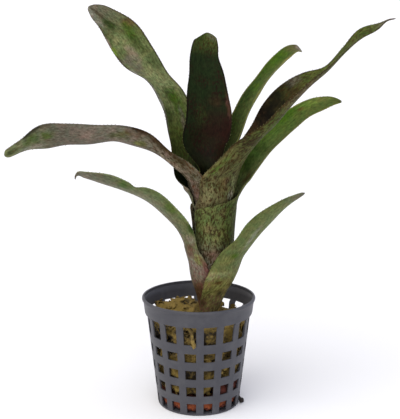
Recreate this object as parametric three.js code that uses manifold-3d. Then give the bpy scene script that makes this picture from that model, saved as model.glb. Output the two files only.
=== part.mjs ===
// A young bromeliad with eight strap leaves, rooted in a small net pot.
// Millimetres, +Z up. The origin is the centre of the pot's base, and the viewer stands at -Y.
import * as THREE from 'three'
import { mergeVertices } from 'three/addons/utils/BufferGeometryUtils.js'
import Module from 'manifold-3d'

const wasm = await Module()
wasm.setup()

// Net pot: outside profile as radius and height, wall and floor, and the grid of windows
const PROFILE = [
  [19.4, 0], [20, 0.6], [25.1, 45], [26.2, 46.2], [27, 52.5], [27.5, 52.7], [27.5, 53.6], [27.1, 54],
]
const WALL = 0.8
const FLOOR = 1.2
const POT_SIDES = 32
const COLUMNS = 16
const RIB_WIDTH = 3.6
const FRONT_RIB = 271.6
const WINDOW_ROWS = [[1.1, 6.2], [10.1, 15], [19, 23.6], [27.9, 32.3], [36.8, 46]]
const FLOOR_SLOTS = 8
const FLOOR_SLOT = { from: 8, to: 17, width: 3 }
const INSIDE = { levels: [54, 52.5, 46.2, 45, FLOOR], widest: 27.3 }
const CUT_DEPTH = 6

// Clay pebbles: their layer is higher on the right, and a core joins them into one piece
const CLAY_LEVEL = 9.6
const CLAY_RISE = { from: 4.1, to: 7.6, height: 5.6 }
const PEBBLE_RADII = [3.9, 3.6, 4.1, 3.7, 4, 3.8]
const LOW_PEBBLES = { count: 12, first: 8, step: 30 }
const HIGH_PEBBLES = { count: 5, first: -50, step: 25 }
const CLAY_CORE = { radius: 13, top: 8.5, sides: 12 }

// Growing medium: a crumpled wad with a mound at the back left, hollowed for the plant's foot
const MEDIUM_TOP = 43.3
const MEDIUM_INSET = 0.6
const MEDIUM_SIDES = 36
const MEDIUM_ROWS = 8
const MEDIUM_RINGS = [0.84, 0.62, 0.42, 0.2]
const MEDIUM_FOOT_RINGS = [0.35, 0.7]
const MEDIUM_EDGE = { foot: 19, top: 22, drop: 1.2 }
const LUMPS = { depth: 0.28, peak: 1.6 }
const RIPPLE = 0.5
const MOUND = { x: -9, y: 10, height: 6.4, sideways: 200, backwards: 48 }
const PLANT_HOLE = { below: 0.7, above: 6, footGap: 0.8, mouthGap: 2.6 }

// The gap between pieces that touch
const CLEARANCE = 0.3

// Stem and foot, as height and radius, and the root that leaves the pot by a low window
const STEM = [[29, 1.8], [31, 2.8], [43.6, 2.8], [46, 1.2], [64, 1.2], [65.5, 0.6]]
const STEM_SIDES = 12
const ROOT_PATH = [
  [5.5, 0, 33], [9.5, -0.8, 28.5], [12.6, -1.6, 22], [15.4, -2.3, 14], [17.2, -2.9, 7], [18.6, -3.3, 4.2],
  [19.9, -3.7, 2.7], [21.15, -3.95, 1.45],
]
const ROOT_RADIUS = 1
const ROOT_KNOB = 1.25
const ROOT_SIDES = 8
const ROOT_STEPS = 16

// The tube of sheaths, as height, radius and centre, and the step from one sheath to the next
const TUBE = [
  [40, 2.6, 3.6], [47, 4.75, 4.5], [52, 6.35, 5.05], [57, 8.1, 5.55], [61.5, 10.15, 6], [67, 11.4, 6.3],
  [74, 11.8, 6.8], [82.5, 11.95, 7.05], [94.5, 12.6, 7], [101, 12.7, 6.5], [108, 12.7, 6.05],
  [125, 12.8, 5.6],
]
const SHEATH_STEP = 1.1
const SHEATH_FOOT = 44
const MIDRIB_THICKNESS = 0.68
const MARGIN_THICKNESS = 0.62
const SHEATH_CELLS = 12
const SHEATH_ROW = 4
const BLADE_ROW = 6
const UNWRAP_PER_ROW = 22
const UNFURL = 14

// Each leaf: its ring in the tube, counted from outside, and the direction it grows in.
// sheath lists height, wrap angle and how far it stands off the tube.
// blade lists x, y, z, width, curl of the cross-section and roll about the midrib.
// A last number, where there is one, is how far the leaf is turned round its own curl.
const LEAVES = [
  {
    name: 'leaf_1', ring: 5, facing: 140, color: 0x74805f,
    sheath: [
      [53, 250, 0], [78, 270, 0], [93, 215, 0], [96.5, 132, 0], [99, 122, 0.9], [104, 136, 2.5, 5],
      [108, 130, 4.8, 13],
    ],
    blade: [
      [-3.5, 8.5, 113, 20, 100, -32, 14], [-7, 14, 121.5, 18.5, 110, -24], [-9.5, 19, 133.5, 16.5, 100, -27],
      [-13.5, 24, 146, 16.5, 80, -19], [-22, 29, 156.5, 17.5, 70, -7], [-31, 33, 167, 19.5, 60, -34],
      [-38.5, 37, 178, 19, 50, -32], [-46.5, 41, 185.5, 15, 45, -23], [-52.4, 43.6, 190.1, 7.8, 30, -30],
      [-55.3, 44.8, 191.7, 3, 20, -30],
    ],
  },
  {
    name: 'leaf_2', ring: 6, facing: 190, color: 0x7d7466,
    sheath: [
      [57, 250, 0], [78, 270, 0], [94, 240, 0], [97, 215, 0], [99, 192, 0.5], [102, 172, 1.7],
      [106, 150, 2.9], [110, 130, 3.6],
    ],
    blade: [
      [-7, -3, 113.8, 24, 150, 4], [-10.5, -4, 117, 21.5, 140, 6], [-16.5, -6, 122.5, 17, 110, 7],
      [-26.5, -8, 129, 16, 90, 36], [-36.5, -11, 132.5, 16.5, 70, 35], [-48.5, -13, 132.5, 17, 60, 39],
      [-60.5, -16, 133, 17.5, 55, 44], [-70.5, -18, 132.5, 16, 50, 50], [-79, -20, 129.5, 10, 45, 42],
      [-87, -22.5, 126, 4.5, 30, 49],
    ],
  },
  {
    name: 'leaf_3', ring: 2, facing: 195, color: 0x7f9556,
    sheath: [[45, 250, 0], [56, 180, 0], [64, 145, 0], [70, 132, 0.4], [75, 112, 1.8], [80, 86, 3]],
    blade: [
      [-9, -6, 87.5, 17, 100, 14], [-15, -9, 96, 15, 90, 25], [-22.5, -12, 103.5, 15, 80, 27],
      [-33.5, -15, 109, 14, 70, 23], [-44, -17, 113.5, 12, 60, 30], [-51, -19, 116, 8, 45, 31],
      [-55, -20, 117, 4.5, 30, 30], [-56, -20.5, 115, 2.8, 20, 40],
    ],
  },
  {
    name: 'leaf_4', ring: 8, facing: 95, color: 0x3d4a2a,
    sheath: [[62, 260, 0], [88, 270, 0], [108, 240, 0], [116, 190, 0.3]],
    blade: [
      [2.5, 10.5, 125.5, 25, 120, 0], [4.5, 13.5, 135.5, 24.5, 85, 0], [4, 17, 147, 22, 65, 5],
      [3.5, 20, 157.5, 18.5, 55, 5], [2.5, 23, 168, 14.5, 45, 9], [3.7, 25, 175, 12, 35, 10],
      [5, 26, 179, 7.5, 20, 10],
    ],
  },
  {
    name: 'leaf_5', ring: 7, facing: 50, color: 0x86ab45,
    sheath: [[58.5, 250, 0], [82, 270, 0], [104, 240, 0], [110, 190, 0.3], [116, 150, 1.2]],
    blade: [
      [17.5, 15.5, 127.5, 17, 110, -14], [22.5, 22, 139.5, 14.5, 90, -15], [27.5, 28, 148.5, 14.5, 70, -15],
      [36, 35, 159, 15, 60, -18], [42.5, 41, 166, 11.5, 50, 0], [48, 45, 170, 9.5, 40, 10],
      [51.8, 47.5, 170.6, 4.5, 30, 40],
    ],
  },
  {
    name: 'leaf_6', ring: 4, facing: 342, color: 0x5c5c38,
    sheath: [
      [49.5, 260, 0], [70, 280, 0], [92, 260, 0], [98, 226, 0.1, -23], [104, 178, 1.2, -19],
      [110, 150, 2.4, -25], [114.5, 134, 3.6, -25],
    ],
    blade: [
      [22.5, -6, 123.5, 24, 180, -3], [28, -9, 131, 23.5, 158, 8, 3], [34.5, -12, 138.5, 24, 158, 18, 10],
      [43, -16, 149.5, 21.5, 150, 20, 12], [49.5, -20, 157, 16.5, 110, 16, 9], [57, -23, 164, 11, 70, 10],
      [64.5, -25, 173, 9, 50, 22], [70.5, -27, 179.5, 7.5, 45, 34], [77.5, -29, 183, 5, 40, 32],
      [81, -29.5, 185.6, 2, 25, 15], [84.6, -30, 186.4, 1.3, 20, 0],
    ],
  },
  {
    name: 'leaf_7', ring: 3, facing: 15, cells: 16, color: 0x7fae48,
    sheath: [
      [47, 300, 0], [61, 325, 0], [90, 330, 0], [95, 325, 0.3], [98, 300, 0.7], [100, 240, 1],
      [102.5, 130, 1.8],
    ],
    blade: [
      [20, 8, 107, 20, 125, 24], [27, 10, 117, 17.5, 110, 23], [36.5, 13, 128.5, 16, 90, 24],
      [44.5, 15, 135.5, 15.5, 80, 25], [52, 17, 141.5, 13, 60, 24], [60, 18, 145, 10, 45, 33],
      [66.2, 18.9, 146.5, 5.5, 30, 33], [69.6, 19.2, 146.3, 1, 20, 33],
    ],
  },
  {
    name: 'leaf_8', ring: 1, facing: 330, color: 0x8a9a63,
    sheath: [[44, 250, 0], [49, 222, 0], [57, 178, 0], [64, 153, 0.6], [68, 138, 1.3]],
    blade: [
      [18.3, -9, 73.5, 24, 125, -12], [23, -13, 82.5, 16, 90, -15], [28.5, -17, 91.5, 15, 80, -22],
      [34.5, -21, 99, 12.5, 70, -20], [40.5, -24, 105, 8, 50, -22], [47.5, -27, 110, 2, 30, -18],
    ],
  },
]

const radians = THREE.MathUtils.degToRad
const smoothstep = (t) => THREE.MathUtils.smoothstep(t, 0, 1)

// Smooth value of one column of a table whose first column is the height
function valueAt(table, column, height) {
  const last = table.length - 1
  let i = 0
  while (i < last - 1 && table[i + 1][0] < height) i++
  const slope = (k) => {
    const a = table[Math.max(k - 1, 0)]
    const b = table[Math.min(k + 1, last)]
    return (b[column] - a[column]) / (b[0] - a[0])
  }
  const [low, high] = [table[i], table[i + 1]]
  const step = high[0] - low[0]
  const t = (height - low[0]) / step
  return hermite(low[column], slope(i) * step, high[column], slope(i + 1) * step, t)
}

function hermite(a, slopeA, b, slopeB, t) {
  const u = t * t * t
  const v = t * t
  return (2 * u - 3 * v + 1) * a + (u - 2 * v + t) * slopeA + (3 * v - 2 * u) * b + (u - v) * slopeB
}

const tubeX = (z) => valueAt(TUBE, 2, z)
const ringRadius = (z, ring) => valueAt(TUBE, 1, z) - (ring - 1) * SHEATH_STEP

// A closed mesh's geometry as a solid, and back again
function solid(geometry) {
  const bare = geometry.index ? geometry.toNonIndexed() : geometry.clone()
  bare.deleteAttribute('normal')
  bare.deleteAttribute('uv')
  const { attributes, index } = mergeVertices(bare, 1e-4)
  const triangles = []
  for (let i = 0; i < index.count; i += 3) {
    const corners = [0, 1, 2].map((k) => index.getX(i + k))
    if (new Set(corners).size === 3) triangles.push(...corners)
  }
  return new wasm.Manifold(new wasm.Mesh({
    numProp: 3,
    vertProperties: new Float32Array(attributes.position.array),
    triVerts: new Uint32Array(triangles),
  }))
}

const joined = (geometries) => geometries.map(solid).reduce((whole, piece) => whole.add(piece))

function geometryOf(body) {
  const mesh = body.getMesh()
  const geometry = new THREE.BufferGeometry()
  geometry.setAttribute('position', new THREE.BufferAttribute(new Float32Array(mesh.vertProperties), 3))
  geometry.setIndex(new THREE.BufferAttribute(new Uint32Array(mesh.triVerts), 1))
  return geometry
}

// Stations of a leaf from its sheath's foot to its tip: centre, width, curl and roll
function leafStations(leaf) {
  const facing = radians(leaf.facing)
  const sheath = leaf.sheath.map(([z, wrap, off, skew = 0]) => {
    const radius = ringRadius(z, leaf.ring) + off
    const centre = [tubeX(z) + radius * Math.cos(facing), radius * Math.sin(facing), z]
    return [...centre, radius * radians(wrap), wrap, 0, skew, off]
  })
  return sheath.concat(leaf.blade.map(([x, y, z, width, curl, roll, skew = 0]) => (
    [x, y, z, width, curl, roll, skew, 0])))
}

// Rows of the leaf along its midrib, with the sheath's rows kept concentric with the tube
function leafRows(leaf) {
  const stations = leafStations(leaf)
  const last = stations.length - 1
  const sheathEnd = leaf.sheath.length - 1
  const reach = stations.map((s, i) => (
    i ? Math.hypot(...[0, 1, 2].map((k) => s[k] - stations[i - 1][k])) : 0))
  const slope = (i, k) => {
    if (i === 0) return (stations[1][k] - stations[0][k]) / reach[1]
    if (i === last) return (stations[last][k] - stations[last - 1][k]) / reach[last]
    const before = (stations[i][k] - stations[i - 1][k]) / reach[i]
    const after = (stations[i + 1][k] - stations[i][k]) / reach[i + 1]
    return (before * reach[i + 1] + after * reach[i]) / (reach[i] + reach[i + 1])
  }
  const rows = []
  for (let i = 0; i < last; i++) {
    const length = reach[i + 1]
    const unwrapping = Math.abs(stations[i + 1][4] - stations[i][4]) / UNWRAP_PER_ROW
    const spacing = i < sheathEnd ? SHEATH_ROW : BLADE_ROW
    const steps = Math.max(1, Math.round(length / spacing), i < sheathEnd ? Math.round(unwrapping) : 1)
    for (let j = 0; j < steps; j++) {
      const row = stations[i].map((value, k) => (
        hermite(value, slope(i, k) * length, stations[i + 1][k], slope(i + 1, k) * length, j / steps)))
      rows.push({ row, inSheath: i < sheathEnd || (i === sheathEnd && j === 0) })
    }
  }
  rows.push({ row: stations[last], inSheath: false })
  const facing = radians(leaf.facing)
  return rows.map(({ row, inSheath }) => {
    const [x, y, z, width, curlDegrees, rollDegrees, skewDegrees, off] = row
    const [curl, roll, skew] = [curlDegrees, rollDegrees, skewDegrees].map(radians)
    if (!inSheath) return { centre: new THREE.Vector3(x, y, z), width, curl, roll, skew, inSheath }
    const radius = ringRadius(z, leaf.ring) + Math.max(off, 0)
    const centre = new THREE.Vector3(tubeX(z) + radius * Math.cos(facing), radius * Math.sin(facing), z)
    return { centre, width: radius * curl, curl, roll: 0, skew, inSheath }
  })
}

// Each row's directions: along the leaf, out of its back, and across it
function leafFrames(leaf, rows) {
  const facing = radians(leaf.facing)
  const sideways = new THREE.Vector3(-Math.sin(facing), Math.cos(facing), 0)
  const firstBlade = rows.findIndex((row) => !row.inSheath)
  let travelled = 0
  rows.forEach((row, i) => {
    const before = rows[Math.max(i - 1, 0)].centre
    const after = rows[Math.min(i + 1, rows.length - 1)].centre
    if (i >= firstBlade) travelled += row.centre.distanceTo(before)
    const along = after.clone().sub(before).normalize()
    const tilt = smoothstep(travelled / UNFURL)
    along.lerp(new THREE.Vector3(0, 0, 1), 1 - tilt).normalize()
    const across = sideways.clone().addScaledVector(along, -sideways.dot(along)).normalize()
    const out = across.clone().cross(along)
    row.along = along
    row.out = out.clone().multiplyScalar(Math.cos(row.roll)).addScaledVector(across, Math.sin(row.roll))
    row.across = across.multiplyScalar(Math.cos(row.roll)).addScaledVector(out, -Math.sin(row.roll))
  })
}

// The two faces of the leaf at one place across a row
function leafPoint(row, u, face) {
  const angle = u * row.curl / 2 + row.skew
  const radius = row.width / row.curl
  const thickness = THREE.MathUtils.lerp(MIDRIB_THICKNESS, MARGIN_THICKNESS, Math.abs(u))
  const r = radius + face * thickness / 2
  return row.centre.clone()
    .addScaledVector(row.out, r * Math.cos(angle) - radius)
    .addScaledVector(row.across, r * Math.sin(angle))
}

function leafGeometry(leaf) {
  const rows = leafRows(leaf)
  leafFrames(leaf, rows)
  const positions = []
  const rings = rows.map((row) => {
    const cells = (leaf.cells ?? SHEATH_CELLS) / (row.inSheath ? 1 : 2)
    const faces = [1, -1].map((face) => Array.from({ length: cells + 1 }, (_, j) => {
      positions.push(...leafPoint(row, 2 * j / cells - 1, face).toArray())
      return positions.length / 3 - 1
    }))
    return { cells, outer: faces[0], inner: faces[1] }
  })
  const triangles = []
  const quad = (a, b, c, d) => triangles.push(a, b, c, a, c, d)
  for (let i = 0; i < rings.length - 1; i++) {
    const low = rings[i]
    const high = rings[i + 1]
    const ratio = low.cells / high.cells
    for (let j = 0; j < high.cells; j++) {
      for (const [a, b, flip] of [[low.outer, high.outer, false], [low.inner, high.inner, true]]) {
        const fan = []
        if (ratio === 2) fan.push([a[2 * j], a[2 * j + 1], b[j]], [a[2 * j + 1], b[j + 1], b[j]])
        if (ratio === 2) fan.push([a[2 * j + 1], a[2 * j + 2], b[j + 1]])
        if (ratio === 1) fan.push([a[j], a[j + 1], b[j + 1]], [a[j], b[j + 1], b[j]])
        for (const [p, q, r] of fan) triangles.push(p, flip ? r : q, flip ? q : r)
      }
    }
    quad(low.outer[0], high.outer[0], high.inner[0], low.inner[0])
    quad(low.outer[low.cells], low.inner[low.cells], high.inner[high.cells], high.outer[high.cells])
  }
  const foot = rings[0]
  for (let j = 0; j < foot.cells; j++) {
    quad(foot.outer[j], foot.inner[j], foot.inner[j + 1], foot.outer[j + 1])
  }
  const tip = rings[rings.length - 1]
  for (let j = 0; j < tip.cells; j++) {
    quad(tip.outer[j], tip.outer[j + 1], tip.inner[j + 1], tip.inner[j])
  }
  const geometry = new THREE.BufferGeometry()
  geometry.setAttribute('position', new THREE.BufferAttribute(new Float32Array(positions), 3))
  geometry.setIndex(triangles)
  return geometry
}

// A shell of rings with as many points each, closed at both ends by a middle point
function shell(rings, bottom, top) {
  const sides = rings[0].length
  const positions = [...rings.flat(), bottom, top].flat()
  const foot = rings.length * sides
  const triangles = []
  for (let i = 0; i < sides; i++) {
    const next = (i + 1) % sides
    for (let k = 0; k < rings.length - 1; k++) {
      const [low, high] = [k * sides, (k + 1) * sides]
      triangles.push(low + i, low + next, high + next, low + i, high + next, high + i)
    }
    triangles.push(foot, next, i, foot + 1, foot - sides + i, foot - sides + next)
  }
  const geometry = new THREE.BufferGeometry()
  geometry.setAttribute('position', new THREE.BufferAttribute(new Float32Array(positions), 3))
  geometry.setIndex(triangles)
  return geometry
}

const circle = (radius, sides, x, z) => Array.from({ length: sides }, (_, i) => {
  const angle = 2 * Math.PI * i / sides
  return [x + radius * Math.cos(angle), radius * Math.sin(angle), z]
})

// Outside radius of the pot's wall at a height
function wallRadius(z) {
  const i = Math.max(PROFILE.findIndex(([, height]) => height >= z), 1)
  const [[r0, z0], [r1, z1]] = [PROFILE[i - 1], PROFILE[i]]
  return THREE.MathUtils.mapLinear(z, z0, z1, r0, r1)
}

function netPot() {
  const inside = INSIDE.levels.map((z) => [Math.min(wallRadius(z), INSIDE.widest) - WALL, z])
  const outline = [[0, 0], ...PROFILE, ...inside, [0, FLOOR]].map(([r, z]) => new THREE.Vector2(r, z))
  const moulding = new THREE.LatheGeometry(outline, POT_SIDES).rotateX(Math.PI / 2)
  moulding.rotateZ(radians(FRONT_RIB))
  const cuts = []
  for (const [low, high] of WINDOW_ROWS) {
    const height = high - low
    const middle = wallRadius((low + high) / 2)
    const width = 2 * Math.PI * middle / COLUMNS - RIB_WIDTH
    for (let k = 0; k < COLUMNS; k++) {
      const window = new THREE.BoxGeometry(CUT_DEPTH, width, height).translate(middle, 0, low + height / 2)
      cuts.push(window.rotateZ(radians(FRONT_RIB) + (k + 0.5) * 2 * Math.PI / COLUMNS))
    }
  }
  const { from, to, width } = FLOOR_SLOT
  for (let k = 0; k < FLOOR_SLOTS; k++) {
    const slot = new THREE.BoxGeometry(to - from, width, 4 * FLOOR).translate((from + to) / 2, 0, 0)
    cuts.push(slot.rotateZ(k * 2 * Math.PI / FLOOR_SLOTS))
  }
  return solid(moulding).subtract(joined(cuts))
}

// Top of the clay layer at a place across the pot
function clayTop(x) {
  const { from, to, height } = CLAY_RISE
  return CLAY_LEVEL + height * THREE.MathUtils.smoothstep(x, from, to)
}

// The root, thicker by the gap where it is a hole for the root
function root(gap) {
  const path = new THREE.CatmullRomCurve3(ROOT_PATH.map((point) => new THREE.Vector3(...point)))
  const corners = circle(ROOT_RADIUS + gap, ROOT_SIDES, 0, 0).map(([x, y]) => new THREE.Vector2(x, y))
  return new THREE.ExtrudeGeometry(new THREE.Shape(corners), { steps: ROOT_STEPS, extrudePath: path })
}

// The dark knob at the root's tip
function rootKnob() {
  return new THREE.IcosahedronGeometry(ROOT_KNOB, 1).translate(...ROOT_PATH[ROOT_PATH.length - 1])
}

// The stem with its foot, thicker by the gap where it is a hole for the foot
function stem(gap) {
  const x = (z) => tubeX(Math.max(z, TUBE[0][0]))
  const last = STEM.length - 1
  const heights = STEM.map(([z], i) => z + (i === last ? gap : 0) - (i === 0 ? gap : 0))
  const rings = heights.map((z, i) => circle(STEM[i][1] + gap, STEM_SIDES, x(z), z))
  return shell(rings, [x(heights[0]), 0, heights[0]], [x(heights[last]), 0, heights[last]])
}

function clayPebbles() {
  const floor = FLOOR + CLEARANCE
  const { radius, top, sides } = CLAY_CORE
  const core = new THREE.CylinderGeometry(radius, radius, top - floor, sides)
  const pieces = [core.rotateX(Math.PI / 2).translate(0, 0, (top + floor) / 2)]
  const pebble = (i, row, level) => {
    const angle = radians(row.first + (i % row.count) * row.step)
    const r = PEBBLE_RADII[i % PEBBLE_RADII.length]
    const z = level ? level - r : floor + r
    const reach = wallRadius(z) - WALL - CLEARANCE - r - 0.1
    const centre = new THREE.Vector3(reach * Math.cos(angle), reach * Math.sin(angle), z)
    pieces.push(new THREE.IcosahedronGeometry(r, 1).rotateZ(i).translate(...centre))
  }
  for (let i = 0; i < LOW_PEBBLES.count; i++) pebble(i, LOW_PEBBLES)
  const raised = CLAY_LEVEL + CLAY_RISE.height - CLEARANCE
  for (let i = 0; i < HIGH_PEBBLES.count; i++) pebble(i, HIGH_PEBBLES, raised)
  return joined(pieces).subtract(solid(root(CLEARANCE)))
}

// Lumps of the medium's side at an angle and a height
function lump(angle, z) {
  return Math.sin(5 * angle + 0.35 * z) * Math.cos(3 * angle - 0.5 * z) + 0.6 * Math.sin(11 * angle + 0.8 * z)
}

function mediumTop(x, y) {
  const { height, sideways, backwards } = MOUND
  const mound = height * Math.exp(-((x - MOUND.x) ** 2) / sideways - (y - MOUND.y) ** 2 / backwards)
  return MEDIUM_TOP + mound + RIPPLE * Math.sin(0.7 * x + 0.2 * y) * Math.cos(0.5 * y)
}

function growingMedium() {
  const angles = Array.from({ length: MEDIUM_SIDES }, (_, i) => 2 * Math.PI * i / MEDIUM_SIDES)
  const side = (angle, z) => wallRadius(z) - WALL - MEDIUM_INSET - LUMPS.depth * (LUMPS.peak + lump(angle, z))
  const bottom = (x) => clayTop(x) + 2 * CLEARANCE
  const { foot, top, drop } = MEDIUM_EDGE
  const rings = []
  for (const share of MEDIUM_FOOT_RINGS) {
    rings.push(angles.map((angle) => {
      const r = share * side(angle, CLAY_LEVEL)
      return [r * Math.cos(angle), r * Math.sin(angle), bottom(r * Math.cos(angle))]
    }))
  }
  for (let k = 0; k <= MEDIUM_ROWS; k++) {
    rings.push(angles.map((angle) => {
      const low = bottom(foot * Math.cos(angle))
      const high = mediumTop(top * Math.cos(angle), top * Math.sin(angle)) - drop
      const z = THREE.MathUtils.lerp(low, high, k / MEDIUM_ROWS)
      const r = side(angle, z)
      return [r * Math.cos(angle), r * Math.sin(angle), z]
    }))
  }
  for (const share of MEDIUM_RINGS) {
    rings.push(angles.map((angle) => {
      const r = share * side(angle, MEDIUM_TOP)
      const [x, y] = [r * Math.cos(angle), r * Math.sin(angle)]
      return [x, y, mediumTop(x, y)]
    }))
  }
  const wad = shell(rings, [0, 0, bottom(0)], [0, 0, mediumTop(0, 0)])
  const { below, above, footGap, mouthGap } = PLANT_HOLE
  const [base, mouth] = [SHEATH_FOOT - below, SHEATH_FOOT + above]
  const hole = shell([
    circle(ringRadius(SHEATH_FOOT, 1) + footGap, 2 * STEM_SIDES, tubeX(base), base),
    circle(ringRadius(SHEATH_FOOT, 1) + mouthGap, 2 * STEM_SIDES, tubeX(mouth), mouth),
  ], [tubeX(base), 0, base], [tubeX(mouth), 0, mouth])
  return solid(wad).subtract(joined([hole, stem(CLEARANCE), root(CLEARANCE)]))
}

const part = new THREE.Group()

function add(name, geometry, color, roughness) {
  geometry.computeVertexNormals()
  const mesh = new THREE.Mesh(geometry, new THREE.MeshStandardMaterial({ color, roughness, metalness: 0 }))
  mesh.name = name
  part.add(mesh)
}

add('net_pot', geometryOf(netPot()), 0x7c8ba3, 0.5)
add('clay_pebbles', geometryOf(clayPebbles()), 0xb0452a, 0.9)
add('growing_medium', geometryOf(growingMedium()), 0xa87b45, 0.95)
add('stem_and_root', geometryOf(joined([stem(0), root(0), rootKnob()])), 0x6b4b35, 0.8)
for (const leaf of LEAVES) add(leaf.name, leafGeometry(leaf), leaf.color, 0.45)

export default part
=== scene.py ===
# %% [markdown]
# # A young bromeliad in a net pot
# The real object is a pup of a Neoregelia: eight strap leaves rise from one tube of nested sheaths,
# which stands in a wad of brown fibre in a small plastic net pot.
# The solid model from the frame already has the right sizes, so this lesson only dresses it: each
# solid is replaced by a finer piece of the same form, with the finish of the real material.
# The frame is loaded first.

# %% Load the frame
import math

import bmesh
import bpy
import numpy as np
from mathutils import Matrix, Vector, noise


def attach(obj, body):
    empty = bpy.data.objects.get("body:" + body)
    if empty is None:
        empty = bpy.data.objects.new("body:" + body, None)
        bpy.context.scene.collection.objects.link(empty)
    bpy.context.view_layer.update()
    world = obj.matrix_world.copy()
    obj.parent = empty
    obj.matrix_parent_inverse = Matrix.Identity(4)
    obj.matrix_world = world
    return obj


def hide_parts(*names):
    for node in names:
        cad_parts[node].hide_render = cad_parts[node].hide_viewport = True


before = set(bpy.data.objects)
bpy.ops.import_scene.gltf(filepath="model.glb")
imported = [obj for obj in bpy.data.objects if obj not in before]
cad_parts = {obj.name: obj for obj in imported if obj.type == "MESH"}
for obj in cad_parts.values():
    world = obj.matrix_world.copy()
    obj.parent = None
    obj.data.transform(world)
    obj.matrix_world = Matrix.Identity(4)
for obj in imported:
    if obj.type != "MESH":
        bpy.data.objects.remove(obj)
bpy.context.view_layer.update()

# %% [markdown]
# ## Helpers
# Everything is drawn in millimetres and becomes metres when a mesh is made, so sizes can be compared
# with a ruler held to the real plant.
# Colours are written as they look on a screen, and one function turns them into the linear values
# that Blender mixes. One more helper adds a node with its settings and its links in one line.
# Some nodes hide several sockets behind one name, so those are reached by number. On a Mix of
# colours 0 is the share and 6 and 7 are the colours. On a Random Value 0 and 1 are the limits of a
# vector, 2 and 3 those of a number and 4 and 5 those of a whole number.

# %% Colours, nodes and meshes
MM = 0.001


def linear(code):
    """A screen colour such as #5d606c as linear red, green, blue and alpha."""
    shares = [int(code[k:k + 2], 16) / 255 for k in (1, 3, 5)]
    return [s / 12.92 if s <= 0.04045 else ((s + 0.055) / 1.055) ** 2.4 for s in shares] + [1.0]


def set_inputs(tree, node, inputs):
    """Sets each input to a value or links it to an output. A node stands for its first live output."""
    for name, value in inputs.items():
        if isinstance(value, bpy.types.Node):
            value = next(socket for socket in value.outputs if socket.enabled)
        if isinstance(value, bpy.types.NodeSocket):
            tree.links.new(value, node.inputs[name])
        else:
            node.inputs[name].default_value = value


def add_node(tree, kind, inputs=None, **settings):
    """Adds a node, sets its properties, and then sets or links its inputs."""
    made = tree.nodes.new(kind)
    for name, value in settings.items():
        setattr(made, name, value)
    set_inputs(tree, made, inputs or {})
    return made


def new_material(name):
    """A material with its node tree and its Principled shader."""
    material = bpy.data.materials.new(name)
    material.use_nodes = True
    return material, material.node_tree, material.node_tree.nodes["Principled BSDF"]


def circle_points(radius, z, sides, x=0.0):
    """Points spaced evenly round an upright line."""
    turns = np.linspace(0, 2 * math.pi, sides + 1)[:-1]
    return [(x + radius * math.cos(a), radius * math.sin(a), z) for a in turns]


def path_edges(path):
    """The edges that join the points of a path one after the other."""
    return [(k, k + 1) for k in range(len(path) - 1)]


def new_piece(name, points, faces=(), edges=(), material=None):
    """A smooth mesh object at the origin, from points in millimetres."""
    mesh = bpy.data.meshes.new(name)
    mesh.from_pydata((np.asarray(points, float) * MM).tolist(), list(edges), list(faces))
    mesh.polygons.foreach_set("use_smooth", [True] * len(mesh.polygons))
    if material:
        mesh.materials.append(material)
    piece = bpy.data.objects.new(name, mesh)
    bpy.context.collection.objects.link(piece)
    return piece


VALUE_KINDS = {1: ("FLOAT", "value"), 3: ("FLOAT_VECTOR", "vector"), 4: ("FLOAT_COLOR", "color")}


def point_values(piece, name, values):
    """Keeps one number, vector or colour for each point of a piece."""
    values = np.asarray(values, np.float32)
    kind, field = VALUE_KINDS[1 if values.ndim == 1 else values.shape[1]]
    piece.data.attributes.new(name, kind, "POINT").data.foreach_set(field, values.ravel())


def finished(piece, slot, *nodes):
    """Puts a piece on the body in place of any solids named. Its slot, the name of its finish, is not used.
    """
    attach(piece, "root")
    if nodes:
        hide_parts(*nodes)
    triangles = sum(len(p.vertices) - 2 for p in piece.data.polygons)
    print(piece.name, "stands for", ", ".join(nodes) or "no solid", "with", triangles, "triangles")


# %% [markdown]
# Geometry Nodes repeat things by rule. Each tree is written here as code: it takes a mesh, a few
# named sizes and a material, and its result is turned back into a plain mesh, because instances and
# live trees are lost when a model is exported.

# %% Trees that repeat and grow
def new_tree(name, **sizes):
    """A geometry tree that takes a mesh, a material and named sizes, and all of these by name."""
    tree = bpy.data.node_groups.new(name, "GeometryNodeTree")
    tree.interface.new_socket("Mesh", in_out="OUTPUT", socket_type="NodeSocketGeometry")
    for label, kind in {"Mesh": "Geometry", "Material": "Material", **sizes}.items():
        tree.interface.new_socket(label, in_out="INPUT", socket_type="NodeSocket" + kind)
    given = tree.nodes.new("NodeGroupInput")
    return tree, {socket.name: socket for socket in given.outputs if socket.name}


def close_tree(tree, given, shape):
    """Sets the material of the shape and makes it the result of the tree."""
    dressed = add_node(tree, "GeometryNodeSetMaterial", {"Geometry": shape, "Material": given["Material"]})
    add_node(tree, "NodeGroupOutput", {0: dressed})
    return tree


def dented(tree, shape, depth, scale, detail):
    """Moves a shape's points by a noise times a depth, where below 0 is inwards, and shades it smooth."""
    lumps = add_node(tree, "ShaderNodeTexNoise", {"Scale": scale, "Detail": detail})
    inwards = add_node(tree, "ShaderNodeMath", {0: lumps, 1: depth}, operation="MULTIPLY")
    normal = add_node(tree, "GeometryNodeInputNormal")
    move = add_node(tree, "ShaderNodeVectorMath", {0: normal, 3: inwards}, operation="SCALE")
    pressed = add_node(tree, "GeometryNodeSetPosition", {"Geometry": shape, "Offset": move})
    return add_node(tree, "GeometryNodeSetShadeSmooth", {"Geometry": pressed})


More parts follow.
